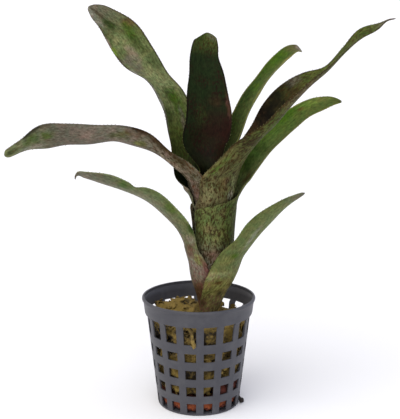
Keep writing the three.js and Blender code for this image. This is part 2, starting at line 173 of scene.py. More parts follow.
def grown(piece, tree, **values):
    """Runs a tree on a piece, with its inputs set by identifier, and keeps the result as its mesh."""
    modifier = piece.modifiers.new(tree.name, "NODES")
    modifier.node_group = tree
    for item in tree.interface.items_tree:
        if item.in_out == "INPUT" and item.name in values:
            modifier[item.identifier] = values[item.name]
    evaluated = piece.evaluated_get(bpy.context.evaluated_depsgraph_get())
    mesh = bpy.data.meshes.new_from_object(evaluated)
    piece.modifiers.remove(modifier)
    piece.data = mesh
    return piece


# %% [markdown]
# ## Camera, floor and light
# The camera stands where the photograph was taken from: 45 cm in front of the plant, level with its
# tips, and tilted 11.8 degrees down. A long lens keeps the pot's sides nearly straight.
# The floor is a wide pale disc, so that its edge lies on the horizon. The light is a studio sky that
# is brightest near the horizon, like a white cove, and a little bluer on the right. A broad sun high
# on the left, as soft as a window, gives it a direction.

# %% Set up the studio
VIEW_FROM = (0.67, -448.52, 190.37)
VIEW_DOWN = 11.8
LENS = 82.5
SENSOR = 36.0
FLOOR_REACH = 30000
SKY_LOW = 1.3
SKY_HIGH = 0.8
SUN_STRENGTH = 1.7

camera = bpy.data.objects.new("camera", bpy.data.cameras.new("camera"))
bpy.context.collection.objects.link(camera)
camera.location = Vector(VIEW_FROM) * MM
camera.rotation_euler = (math.radians(90 - VIEW_DOWN), 0, 0)
camera.data.lens = LENS
camera.data.sensor_width = SENSOR
camera.data.clip_start = 0.01
bpy.context.scene.camera = camera
bpy.context.scene.view_settings.view_transform = "Standard"


def studio_floor():
    """A pale disc 60 m across, with a faint grain so that it isn't one flat colour."""
    edge = circle_points(FLOOR_REACH, 0, 64)
    material, tree, shader = new_material("pale_paper")
    grain = add_node(tree, "ShaderNodeTexNoise", {"Scale": 3.0, "Detail": 2.0})
    tone = add_node(tree, "ShaderNodeMapRange", {"Value": grain, "To Min": 0.93, "To Max": 0.95})
    set_inputs(tree, shader, {"Base Color": tone, "Roughness": 0.9, "Specular IOR Level": 0.2})
    floor = new_piece("floor", edge, [list(range(len(edge)))], material=material)


def studio_sky():
    """A sky by direction: bright at the horizon, dimmer above, warm on the left and cool on the right."""
    sky = bpy.data.worlds.new("studio_sky")
    sky.use_nodes = True
    tree = sky.node_tree
    direction = add_node(tree, "ShaderNodeTexCoord")
    part = add_node(tree, "ShaderNodeSeparateXYZ", {"Vector": direction.outputs["Generated"]})
    side = add_node(tree, "ShaderNodeMapRange", {"Value": part.outputs["X"], "From Min": -1.0})
    height = add_node(tree, "ShaderNodeMapRange", {
        "Value": part.outputs["Z"], "From Min": 0.06, "From Max": 0.4, "To Min": SKY_LOW,
        "To Max": SKY_HIGH})
    tint = add_node(tree, "ShaderNodeMix", {
        0: side, 6: linear("#fff8f0"), 7: linear("#e2e8ff")}, data_type="RGBA")
    set_inputs(tree, tree.nodes["Background"], {"Color": tint, "Strength": height})
    bpy.context.scene.world = sky


def soft_sun(turn, height, spread, strength):
    """A sun as broad as a window: turned from the viewer's direction, and high above the floor."""
    sun = bpy.data.objects.new("soft_sun", bpy.data.lights.new("soft_sun", "SUN"))
    bpy.context.collection.objects.link(sun)
    sun.rotation_euler = (math.radians(90 - height), 0, math.radians(turn))
    sun.data.angle = math.radians(spread)
    sun.data.energy = strength


studio_floor()
studio_sky()
soft_sun(turn=-30, height=55, spread=60, strength=SUN_STRENGTH)
print("camera, floor, sky and sun are in place")

# %% [markdown]
# ## The leaves
# A bromeliad leaf is one long strap. Its lower part is a wide sheath that wraps round the younger
# sheaths inside it, like the layers of a leek, and its upper part is the blade that bends away.
# One way is to sculpt each leaf. Here each one follows a rule instead, the same as in the solid
# model: a list of stations along its midrib gives its width, how far it curls and how it rolls.
# That keeps every sheath at its own distance from the middle, so that no leaf cuts through another.
# The sizes are in millimetres. The tube's stations are height, radius and the place of its middle.
# A sheath's are height, angle of wrap, distance off the tube and skew. A blade's are x, y, z, width,
# curl, roll and skew. The sheath with ring 1 is the outermost, and the rest follow inwards.

# %% Stations of the eight leaves
TUBE = [
    (40, 2.6, 3.6), (47, 4.75, 4.5), (52, 6.35, 5.05), (57, 8.1, 5.55), (61.5, 10.15, 6), (67, 11.4, 6.3),
    (74, 11.8, 6.8), (82.5, 11.95, 7.05), (94.5, 12.6, 7), (101, 12.7, 6.5), (108, 12.7, 6.05),
    (125, 12.8, 5.6),
]
SHEATH_STEP = 1.1
LEAVES = {
    "leaf_1": {
        "ring": 5, "facing": 140,
        "sheath": [
            (53, 250, 0), (78, 270, 0), (93, 215, 0), (96.5, 132, 0), (99, 122, 0.9), (104, 136, 2.5, 5),
            (108, 130, 4.8, 13),
        ],
        "blade": [
            (-3.5, 8.5, 113, 20, 100, -32, 14), (-7, 14, 121.5, 18.5, 110, -24),
            (-9.5, 19, 133.5, 16.5, 100, -27), (-13.5, 24, 146, 16.5, 80, -19),
            (-22, 29, 156.5, 17.5, 70, -7), (-31, 33, 167, 19.5, 60, -34), (-38.5, 37, 178, 19, 50, -32),
            (-46.5, 41, 185.5, 15, 45, -23), (-52.4, 43.6, 190.1, 7.8, 30, -30),
            (-55.3, 44.8, 191.7, 3, 20, -30),
        ],
    },
    "leaf_2": {
        "ring": 6, "facing": 190,
        "sheath": [
            (57, 250, 0), (78, 270, 0), (94, 240, 0), (97, 215, 0), (99, 192, 0.5), (102, 172, 1.7),
            (106, 150, 2.9), (110, 130, 3.6),
        ],
        "blade": [
            (-7, -3, 113.8, 24, 150, 4), (-10.5, -4, 117, 21.5, 140, 6), (-16.5, -6, 122.5, 17, 110, 7),
            (-26.5, -8, 129, 16, 90, 36), (-36.5, -11, 132.5, 16.5, 70, 35), (-48.5, -13, 132.5, 17, 60, 39),
            (-60.5, -16, 133, 17.5, 55, 44), (-70.5, -18, 132.5, 16, 50, 50), (-79, -20, 129.5, 10, 45, 42),
            (-87, -22.5, 126, 4.5, 30, 49),
        ],
    },
    "leaf_3": {
        "ring": 2, "facing": 195,
        "sheath": [(45, 250, 0), (56, 180, 0), (64, 145, 0), (70, 132, 0.4), (75, 112, 1.8), (80, 86, 3)],
        "blade": [
            (-9, -6, 87.5, 17, 100, 14), (-15, -9, 96, 15, 90, 25), (-22.5, -12, 103.5, 15, 80, 27),
            (-33.5, -15, 109, 14, 70, 23), (-44, -17, 113.5, 12, 60, 30), (-51, -19, 116, 8, 45, 31),
            (-55, -20, 117, 4.5, 30, 30), (-56, -20.5, 115, 2.8, 20, 40),
        ],
    },
    "leaf_4": {
        "ring": 8, "facing": 95,
        "sheath": [(62, 260, 0), (88, 270, 0), (108, 240, 0), (116, 190, 0.3)],
        "blade": [
            (2.5, 10.5, 125.5, 25, 120, 0), (4.5, 13.5, 135.5, 24.5, 85, 0), (4, 17, 147, 22, 65, 5),
            (3.5, 20, 157.5, 18.5, 55, 5), (2.5, 23, 168, 14.5, 45, 9), (3.7, 25, 175, 12, 35, 10),
            (5, 26, 179, 7.5, 20, 10),
        ],
    },
    "leaf_5": {
        "ring": 7, "facing": 50,
        "sheath": [(58.5, 250, 0), (82, 270, 0), (104, 240, 0), (110, 190, 0.3), (116, 150, 1.2)],
        "blade": [
            (17.5, 15.5, 127.5, 17, 110, -14), (22.5, 22, 139.5, 14.5, 90, -15),
            (27.5, 28, 148.5, 14.5, 70, -15), (36, 35, 159, 15, 60, -18), (42.5, 41, 166, 11.5, 50, 0),
            (48, 45, 170, 9.5, 40, 10), (51.8, 47.5, 170.6, 4.5, 30, 40),
        ],
    },
    "leaf_6": {
        "ring": 4, "facing": 342,
        "sheath": [
            (49.5, 260, 0), (70, 280, 0), (92, 260, 0), (98, 226, 0.1, -23), (104, 178, 1.2, -19),
            (110, 150, 2.4, -25), (114.5, 134, 3.6, -25),
        ],
        "blade": [
            (22.5, -6, 123.5, 24, 180, -3), (28, -9, 131, 23.5, 158, 8, 3),
            (34.5, -12, 138.5, 24, 158, 18, 10), (43, -16, 149.5, 21.5, 150, 20, 12),
            (49.5, -20, 157, 16.5, 110, 16, 9), (57, -23, 164, 11, 70, 10), (64.5, -25, 173, 9, 50, 22),
            (70.5, -27, 179.5, 7.5, 45, 34), (77.5, -29, 183, 5, 40, 32), (81, -29.5, 185.6, 2, 25, 15),
            (84.6, -30, 186.4, 1.3, 20, 0),
        ],
    },
    "leaf_7": {
        "ring": 3, "facing": 15,
        "sheath": [
            (47, 300, 0), (61, 325, 0), (90, 330, 0), (95, 325, 0.3), (98, 300, 0.7), (100, 240, 1),
            (102.5, 130, 1.8),
        ],
        "blade": [
            (20, 8, 107, 20, 125, 24), (27, 10, 117, 17.5, 110, 23), (36.5, 13, 128.5, 16, 90, 24),
            (44.5, 15, 135.5, 15.5, 80, 25), (52, 17, 141.5, 13, 60, 24), (60, 18, 145, 10, 45, 33),
            (66.2, 18.9, 146.5, 5.5, 30, 33), (69.6, 19.2, 146.3, 1, 20, 33),
        ],
    },
    "leaf_8": {
        "ring": 1, "facing": 330,
        "sheath": [(44, 250, 0), (49, 222, 0), (57, 178, 0), (64, 153, 0.6), (68, 138, 1.3)],
        "blade": [
            (18.3, -9, 73.5, 24, 125, -12), (23, -13, 82.5, 16, 90, -15), (28.5, -17, 91.5, 15, 80, -22),
            (34.5, -21, 99, 12.5, 70, -20), (40.5, -24, 105, 8, 50, -22), (47.5, -27, 110, 2, 30, -18),
        ],
    },
}
stations_in_blades = sum(len(leaf["blade"]) for leaf in LEAVES.values())
print(len(LEAVES), "leaves, with", stations_in_blades, "stations in their blades")

# %% [markdown]
# A smooth curve joins the stations, because straight lines between them would show kinks. At each
# point of it a small frame says which way is along the leaf, out of its back and across it. The rows
# lie close together, so that the curves look smooth, where the solid model has long flat facets.

# %% From stations to a smooth surface
ROW_LENGTH = 0.6
FRAME_REACH = 5.0
UNFURL = 14.0


def hermite(a, slope_a, b, slope_b, t):
    """A cubic between two values with given slopes."""
    u, v = t ** 3, t ** 2
    return (2 * u - 3 * v + 1) * a + (u - 2 * v + t) * slope_a + (3 * v - 2 * u) * b + (u - v) * slope_b


def smoothstep(t):
    """Rises softly from 0 to 1, and stays there."""
    t = np.clip(t, 0.0, 1.0)
    return t * t * (3 - 2 * t)


def value_at(table, column, height):
    """Smooth value of one column of a table whose first column is the height."""
    last = len(table) - 1
    i = 0
    while i < last - 1 and table[i + 1][0] < height:
        i += 1

    def slope(k):
        a, b = table[max(k - 1, 0)], table[min(k + 1, last)]
        return (b[column] - a[column]) / (b[0] - a[0])

    low, high = table[i], table[i + 1]
    step = high[0] - low[0]
    share = (height - low[0]) / step
    return hermite(low[column], slope(i) * step, high[column], slope(i + 1) * step, share)


def tube_x(z):
    """How far to the right the middle of the tube lies at a height, because the plant leans."""
    return value_at(TUBE, 2, z)


def sheath_radius(z, number):
    """Distance of a sheath from the tube's middle, where sheath 1 is the outermost."""
    return value_at(TUBE, 1, z) - (number - 1) * SHEATH_STEP


def stations_of(leaf):
    """Centre, width, curl, roll, skew and distance off the tube, from the sheath's foot to the tip."""
    facing = math.radians(leaf["facing"])
    rows = []
    for z, wrap, off, *skew in leaf["sheath"]:
        radius = sheath_radius(z, leaf["ring"]) + off
        centre = [tube_x(z) + radius * math.cos(facing), radius * math.sin(facing), z]
        rows.append(centre + [radius * math.radians(wrap), wrap, 0, sum(skew), off])
    for x, y, z, width, curl, roll, *skew in leaf["blade"]:
        rows.append([x, y, z, width, curl, roll, sum(skew), 0])
    return np.array(rows, float)


def unit(vectors):
    """Each row of a list of vectors, made one long."""
    return vectors / np.linalg.norm(vectors, axis=1)[:, None]


def rows_of(leaf):
    """Close rows along the midrib, each with its directions."""
    stations = stations_of(leaf)
    facing = math.radians(leaf["facing"])
    sheath_end = len(leaf["sheath"]) - 1
    reach = np.linalg.norm(np.diff(stations[:, :3], axis=0), axis=1)
    step = np.diff(stations, axis=0) / reach[:, None]
    slope = np.concatenate([step[:1], step[:1], step[1:]])
    slope[1:-1] = step[:-1] * reach[1:, None] + step[1:] * reach[:-1, None]
    slope[1:-1] /= (reach[:-1] + reach[1:])[:, None]
    slope[-1] = step[-1]
    rows, in_sheath = [], []
    for i, length in enumerate(reach):
        count = max(4, round(length / ROW_LENGTH))
        start, end = (stations[i], slope[i] * length), (stations[i + 1], slope[i + 1] * length)
        for j in range(count):
            rows.append(hermite(*start, *end, j / count))
            in_sheath.append(i < sheath_end or (i == sheath_end and j == 0))
    rows = np.array(rows + [stations[-1]])
    in_sheath = np.array(in_sheath + [False])
    for i in np.flatnonzero(in_sheath):
        z = rows[i, 2]
        radius = sheath_radius(z, leaf["ring"]) + max(rows[i, 7], 0)
        rows[i, :2] = tube_x(z) + radius * math.cos(facing), radius * math.sin(facing)
        rows[i, 3] = radius * math.radians(rows[i, 4])
        rows[i, 5] = 0
    centre = rows[:, :3]
    arc = np.concatenate([[0], np.cumsum(np.linalg.norm(np.diff(centre, axis=0), axis=1))])
    ends = [np.clip(arc + d, 0, arc[-1]) for d in (-FRAME_REACH, FRAME_REACH)]
    behind, ahead = [np.stack([np.interp(e, arc, centre[:, k]) for k in range(3)], axis=1) for e in ends]
    blade_from = arc[np.argmin(in_sheath)]
    tilt = smoothstep((arc - blade_from) / UNFURL)[:, None]
    along = unit(tilt * unit(ahead - behind) + (1 - tilt) * np.array([0, 0, 1.0]))
    sideways = np.array([-math.sin(facing), math.cos(facing), 0])
    across = unit(sideways - along * (along @ sideways)[:, None])
    out = np.cross(across, along)
    roll = np.radians(rows[:, 5])[:, None]
    return {
        "arc": arc, "centre": centre, "width": rows[:, 3], "blade_from": blade_from,
        "out": out * np.cos(roll) + across * np.sin(roll),
        "across": across * np.cos(roll) - out * np.sin(roll),
        "curl": np.radians(rows[:, 4]), "skew": np.radians(rows[:, 6]),
    }


def surface(rows, arc, u, raised):
    """Points of a leaf at a distance along it and a share across it, raised out of its back."""
    def at(name):
        values = rows[name]
        if values.ndim == 1:
            return np.interp(arc, rows["arc"], values)
        return np.stack([np.interp(arc, rows["arc"], values[:, k]) for k in range(3)], axis=-1)
    curl = at("curl")
    radius = at("width") / curl
    angle = u * curl / 2 + at("skew")
    r = radius + raised
    return (at("centre") + at("out") * (r * np.cos(angle) - radius)[..., None]
            + at("across") * (r * np.sin(angle))[..., None])


leaf_rows = {name: rows_of(leaf) for name, leaf in LEAVES.items()}
for name, rows in leaf_rows.items():
    print(name, "is", round(rows["arc"][-1]), "mm long, and its blade starts at", round(rows["blade_from"]))

# %% [markdown]
# The colour of a leaf changes along it and differs between its back and its upper face: it is pale
# and stained near the foot, olive or green in the blade, and grey and dry at the tip.
# An image could be wrapped on each leaf. Here the colours are painted on the points by rule, from a
# short list of stops along the leaf and a few soft blotches, so that they stay sharp at any size.
# All of them are mixed from one small box of pigments, but some stand for light and shade: the
# near-black one is painted shade, down in the cup and between leaves, and the cream one a painted
# highlight. A stop is a share of the leaf's length and the pigment there, or the pigments at the two
# margins, and it stands only where the leaf turns from one colour to another. Where the margins
# differ, the change across the leaf is partly its own colour and partly painted shade. A blotch is its
# place along and across, its length and breadth, its pigment and its strength, and some pale grey ones
# are partly grey scales and partly a painted sheen. Mottle is how strong the spots are at places
# along the leaf.

# %% Colours of the leaves
MARGIN_FROM = 0.88
MARGIN_STRENGTH = 0.85
PIGMENTS = {
    "leaf_green": "#39560c", "deep_green": "#26380f", "moss": "#4a5626", "fresh": "#6c8430",
    "sage": "#868a5c", "silver": "#8c8a7a", "ash": "#625d4e", "rose_grey": "#8a7868",
    "russet": "#4e2c12", "wine": "#220e0a", "maroon": "#66403a", "umber": "#332616", "ink": "#100e08",
    "straw": "#7c7a40", "husk": "#7c7464", "highlight_cream": "#c6b896",
    "olive": "#566034", "pine": "#1b2510", "lichen": "#727a50", "bark": "#5e543a",
}
PAINT = {
    "leaf_1": {
        "back": [(0, "husk"), (0.5, "lichen"), (0.8, "olive"), (1, "silver")],
        # The near-black foot of this face and its pine stop at 0.37 are painted shade, in the cup and between
        # leaves.
        "face": [(0, "ink"), (0.28, "olive"), (0.37, "pine"), (0.51, "moss"), (0.67, "lichen"),
                 (0.85, "olive"), (1, "ash")],
        # The silver, sage, rose-grey and ash blotches here are partly grey scales and partly a painted sheen.
        "face_blotches": [
            (0.955, 0.15, 0.03, 0.18, "umber", 0.6), (0.965, 0.75, 0.05, 0.3, "silver", 0.5),
            (0.905, 0.15, 0.03, 0.3, "deep_green", 0.9), (0.876, -0.7, 0.02, 0.26, "russet", 0.6),
            (0.853, -0.45, 0.03, 0.3, "leaf_green", 0.75), (0.82, -0.4, 0.03, 0.25, "deep_green", 0.6),
            (0.84, 0.3, 0.03, 0.4, "sage", 0.55), (0.815, 0.95, 0.018, 0.16, "fresh", 0.9),
            (0.79, 1, 0.02, 0.12, "umber", 0.8), (0.855, 0.97, 0.02, 0.1, "rose_grey", 0.8),
            (0.785, 0.08, 0.035, 0.25, "rose_grey", 0.6), (0.755, 0.5, 0.04, 0.4, "ash", 0.8),
            (0.7, -0.1, 0.03, 0.5, "sage", 0.55), (0.62, -0.1, 0.03, 0.4, "deep_green", 0.8),
            (0.59, -0.35, 0.05, 0.35, "leaf_green", 0.7), (0.74, -0.6, 0.05, 0.25, "deep_green", 0.5),
            (0.63, 0.9, 0.12, 0.12, "silver", 0.85), (0.56, 0.6, 0.03, 0.4, "deep_green", 0.6),
            (0.53, -0.35, 0.05, 0.15, "ash", 0.8),
        ],
        "back_blotches": [(0.345, 0.85, 0.02, 0.15, "rose_grey", 0.8)],
        "margin": "umber", "spots": "umber",
        "mottle": [(0, 0.5), (0.4, 0.55), (0.6, 0.5), (0.75, 0.3), (1, 0.45)],
    },
    "leaf_2": {
        "back": [(0, "rose_grey"), (0.34, "ash"), (0.46, "husk", "bark"), (0.62, "husk"),
                 (0.83, "ash"), (1, "lichen")],
        "face": [(0, "umber"), (0.6, "ash"), (1, "lichen")],
        # The cream blotch is a painted highlight on the margin, and the near-black blotches are painted
        # shade.
        "back_blotches": [
            (0.975, 0.1, 0.02, 0.5, "deep_green", 0.7), (0.905, 0.35, 0.025, 0.4, "leaf_green", 0.7),
            (0.895, 0.92, 0.04, 0.12, "ink", 0.8), (0.86, 0.3, 0.02, 0.3, "leaf_green", 0.7),
            (0.92, -0.5, 0.04, 0.3, "silver", 0.6), (0.74, 0.1, 0.03, 0.4, "rose_grey", 0.6),
            (0.64, 0.3, 0.03, 0.4, "moss", 0.7), (0.605, 0.6, 0.03, 0.35, "russet", 0.45),
            (0.585, 0.95, 0.05, 0.12, "ink", 0.9), (0.54, 0.95, 0.05, 0.3, "umber", 0.9),
            (0.575, 0.1, 0.02, 0.3, "straw", 0.8), (0.53, 0.3, 0.02, 0.3, "husk", 0.8),
            (0.49, 0.5, 0.02, 0.4, "rose_grey", 0.7), (0.47, 0.9, 0.05, 0.15, "umber", 0.8),
            (0.45, 0.3, 0.06, 0.18, "highlight_cream", 0.35), (0.4, 0.35, 0.06, 0.2, "rose_grey", 0.5),
            (0.345, 0.55, 0.03, 0.2, "maroon", 0.4),
        ],
        "margin": "ash", "spots": "russet", "mottle": [(0, 0.8), (0.5, 0.8), (0.6, 0.35), (1, 0.3)],
    },
    "leaf_3": {
        # Where the margins differ, the change across is partly painted shade, and the silver is partly a
        # painted sheen.
        "back": [(0, "russet"), (0.13, "bark"), (0.26, "husk"), (0.37, "husk", "olive"),
                 (0.7, "silver", "olive"),
                 (1, "ash")],
        "face": [(0, "moss"), (0.7, "fresh"), (1, "ash")],
        "back_blotches": [
            (0.39, 0.75, 0.025, 0.3, "husk", 0.7), (0.43, 0.92, 0.03, 0.12, "deep_green", 0.9),
            (0.33, 0.4, 0.03, 0.35, "russet", 0.6), (0.29, 0.75, 0.03, 0.25, "straw", 0.8),
            (0.25, 0.92, 0.05, 0.12, "maroon", 0.85), (0.2, 0.9, 0.04, 0.2, "maroon", 0.8),
            (0.13, 0.5, 0.04, 0.5, "russet", 0.7), (0.1, 0, 0.05, 1, "umber", 0.6),
            (0.55, 0.6, 0.03, 0.3, "leaf_green", 0.6), (0.78, 0.6, 0.04, 0.3, "leaf_green", 0.6),
            (0.95, 0, 0.03, 1, "husk", 0.6),
        ],
        "margin": "lichen", "spots": "maroon",
        "mottle": [(0, 0.8), (0.25, 0.7), (0.4, 0.35), (0.5, 0.1), (1, 0.1)],
    },
    "leaf_4": {
        "back": [(0, "bark"), (0.5, "moss"), (1, "moss")],
        # The near-black foot, the near-black margin and the near-black blotches of this face are painted
        # shade.
        "face": [(0, "ink"), (0.37, "pine", "ink"), (0.58, "wine", "pine"), (0.75, "pine"),
                 (0.9, "pine"), (1, "moss")],
        "face_blotches": [
            (0.99, -0.5, 0.015, 0.5, "husk", 0.4), (0.97, 0.5, 0.02, 0.4, "deep_green", 0.7),
            (0.72, -0.35, 0.02, 0.3, "umber", 0.7), (0.7, -0.92, 0.06, 0.1, "maroon", 0.5),
            (0.65, -0.2, 0.03, 0.3, "wine", 0.6), (0.605, -0.2, 0.03, 0.4, "wine", 0.7),
            (0.62, -0.7, 0.04, 0.3, "wine", 0.7), (0.66, 0.3, 0.04, 0.25, "moss", 0.15),
            (0.62, 0.99, 0.2, 0.06, "ink", 0.9), (0.5, 0, 0.03, 1, "ink", 0.4),
        ],
        "margin": "ink", "spots": "wine", "mottle": [(0, 0.8), (0.6, 0.85), (0.75, 0.85), (1, 0.7)],
    },
    "leaf_5": {
        "back": [(0, "bark"), (0.5, "moss"), (1, "lichen")],
        "face": [(0, "pine"), (0.5, "moss", "deep_green"), (0.75, "olive", "deep_green"),
                 (0.93, "moss", "leaf_green"),
                 (1, "bark")],
        "face_blotches": [
            (0.995, 0, 0.012, 1.2, "husk", 0.8), (0.91, 0.3, 0.04, 0.5, "leaf_green", 0.6),
            (0.88, -0.8, 0.05, 0.25, "straw", 0.7), (0.715, -0.6, 0.04, 0.2, "straw", 0.6),
            (0.82, -0.75, 0.04, 0.25, "ash", 0.5), (0.76, 0.2, 0.03, 0.5, "leaf_green", 0.6),
            (0.72, 0.6, 0.03, 0.4, "deep_green", 0.7), (0.59, 0.7, 0.03, 0.3, "deep_green", 0.7),
        ],
        "margin": "straw", "spots": "umber", "mottle": [(0, 0.5), (0.6, 0.4), (0.75, 0.2), (1, 0.15)],
    },
    "leaf_6": {
        "back": [(0, "bark"), (0.3, "bark", "olive"), (0.6, "moss"), (0.7, "bark"), (0.85, "moss"),
                 (1, "ash")],
        # The near-black foot and the near-black blotches at 0.56 and 0.61 are painted shade in the channel.
        "face": [(0, "ink"), (0.57, "umber"), (0.75, "moss"), (0.93, "moss"), (1, "ash")],
        "face_blotches": [
            (0.98, 0, 0.02, 1.2, "husk", 0.8), (0.915, -0.3, 0.02, 0.4, "deep_green", 0.7),
            (0.87, -0.2, 0.02, 0.6, "moss", 0.6), (0.685, 0.8, 0.02, 0.25, "ash", 0.8),
            (0.66, 0.3, 0.03, 0.3, "umber", 0.7), (0.61, 0.7, 0.05, 0.5, "ink", 0.8),
            (0.56, 0.7, 0.04, 0.5, "ink", 0.9),
        ],
        "back_blotches": [
            (0.5, -0.6, 0.03, 0.2, "wine", 0.7), (0.37, -0.3, 0.02, 0.12, "russet", 0.5),
            (0.372, -0.15, 0.02, 0.06, "maroon", 0.4), (0.43, -0.45, 0.05, 0.08, "umber", 0.6),
            (0.335, 0.02, 0.012, 0.1, "silver", 0.8), (0.36, 0.12, 0.04, 0.1, "sage", 0.35),
            (0.345, -0.7, 0.03, 0.15, "sage", 0.3), (0.42, -0.8, 0.03, 0.12, "leaf_green", 0.6),
        ],
        "margin": "umber", "spots": "umber",
        "mottle": [(0, 0.8), (0.55, 0.95), (0.7, 0.7), (0.9, 0.85), (1, 0.4)],
    },
    "leaf_7": {
        "back": [(0, "bark"), (0.2, "ash"), (0.33, "olive"), (0.6, "olive"), (1, "lichen")],
        # The pale lichen stops from 0.42 to 0.54 are painted light, laid over the shade there.
        "face": [(0, "pine"), (0.42, "lichen"), (0.54, "lichen", "leaf_green"), (0.77, "olive", "leaf_green"),
                 (0.9, "moss"), (1, "moss")],
        "back_blotches": [
            (0.42, -0.45, 0.02, 0.12, "leaf_green", 0.6), (0.4, -0.55, 0.02, 0.06, "maroon", 0.3),
            (0.335, -0.72, 0.02, 0.1, "maroon", 0.3), (0.3, -0.55, 0.03, 0.2, "straw", 0.4),
            (0.235, -0.65, 0.025, 0.15, "maroon", 0.5), (0.36, -0.38, 0.1, 0.08, "moss", 0.6),
            (0.3, -0.3, 0.1, 0.1, "moss", 0.7),
        ],
        # The cream blotch at 0.36 is a painted highlight along the margin by the tube.
        "face_blotches": [
            (1, 0, 0.015, 1.5, "umber", 0.6), (0.93, 0.7, 0.04, 0.4, "straw", 0.3),
            (0.88, 0.5, 0.04, 0.35, "fresh", 0.4), (0.85, 0.45, 0.012, 0.2, "russet", 0.7),
            (0.8, 0.7, 0.04, 0.3, "leaf_green", 0.8), (0.64, 0.3, 0.04, 0.4, "deep_green", 0.7),
            (0.58, 0.5, 0.04, 0.5, "deep_green", 0.7), (0.6, -0.7, 0.05, 0.25, "sage", 0.6),
            (0.53, -0.25, 0.03, 0.25, "russet", 0.6), (0.36, 0.92, 0.06, 0.1, "highlight_cream", 0.9),
        ],
        "margin": "straw", "spots": "umber",
        "mottle": [(0, 0.9), (0.42, 0.9), (0.5, 0.3), (0.6, 0.06), (1, 0.06)],
    },
    "leaf_8": {
        "back": [(0, "bark"), (0.22, "straw"), (0.37, "olive", "lichen"), (0.86, "olive", "lichen"),
                 (1, "ash")],
        "face": [(0, "moss"), (0.7, "fresh"), (1, "ash")],
        # The silver blotch at 0.6 is partly grey scales and partly a painted sheen.
        "back_blotches": [
            (0.315, -0.5, 0.02, 0.3, "sage", 0.7), (0.3, -0.88, 0.03, 0.12, "sage", 0.8),
            (0.26, -0.6, 0.015, 0.15, "russet", 0.8), (0.175, -0.3, 0.03, 0.2, "umber", 0.7),
            (0.24, -0.05, 0.03, 0.15, "umber", 0.6), (0.4, -0.5, 0.03, 0.3, "straw", 0.35),
            (0.44, -0.3, 0.02, 0.2, "leaf_green", 0.8), (0.09, -0.9, 0.04, 0.15, "umber", 0.9),
            (0.6, -0.1, 0.1, 0.15, "silver", 0.5),
        ],
        "margin": "olive", "spots": "maroon", "mottle": [(0, 0.8), (0.3, 0.5), (0.45, 0.15), (1, 0.06)],
    },
}


def rgb(code):
    """A screen colour as linear red, green and blue."""
    return np.array(linear(code)[:3])


def along_leaf(stops, share, u):
    """Colours at places on the leaf, mixed between the stops and from its one side to the other, which is
    partly the leaf's own colour and partly painted shade.
    """
    places = [stop[0] for stop in stops]
    sides = [np.array([rgb(PIGMENTS[stop[k]]) for stop in stops]) for k in (1, -1)]
    one, other = [np.stack([np.interp(share, places, side[:, k]) for k in range(3)], axis=-1)
                  for side in sides]
    return one + (other - one) * ((u + 1) / 2)[:, None]


def painted(paint, share, u, on_back, blade_from, ragged):
    """The colour of each point, and the colour and strength of its spots."""
    back, face = [along_leaf(paint[side], share, u) for side in ("back", "face")]
    tint = np.where(on_back[:, None], back, face)
    rim = smoothstep((np.abs(u) - MARGIN_FROM) / 0.1) * smoothstep((share - blade_from) / 0.08)
    tint += MARGIN_STRENGTH * rim[:, None] * (rgb(PIGMENTS[paint["margin"]]) - tint)
    for side in ("back", "face"):
        for place, across, length, breadth, pigment, strength in paint.get(side + "_blotches", ()):
            far = ((share - place) / length) ** 2 + ((u - across) / breadth) ** 2 + ragged
            weight = strength * np.exp(-np.clip(far, 0, None) ** 2) * (on_back == (side == "back"))
            tint += weight[:, None] * (rgb(PIGMENTS[pigment]) - tint)
    places, amounts = zip(*paint["mottle"])
    spots = np.tile(linear(PIGMENTS[paint["spots"]]), (len(share), 1))
    spots[:, 3] = np.interp(share, places, amounts)
    return np.concatenate([tint, np.ones((len(share), 1))], axis=1), spots


print(len(PIGMENTS), "pigments and", len(PAINT), "painted leaves")

# %% [markdown]
# A fresh leaf has a thin satin skin. Seen close it has fine parallel veins, spots of dark red
# pigment drawn out along the leaf, and a grain of fine scales that makes the green uneven.
# The spots are 0.5 to 2 mm across, so they just show in the picture. Real veins are half a
# millimetre apart, too fine to show, so they are drawn about 1 mm apart.
# The patterns follow the leaf: they read each point's place on it in millimetres, so that a scale
# of 1.3 makes spots of 0.8 mm and a scale of 0.3 makes clouds of 3 mm.

# %% Leaf skin
SPOT_OLIVE = "#37270f"
BROWNER = (1.08, 0.98, 1.02, 1.0)
GREENER = (0.92, 1.03, 1.02, 1.0)


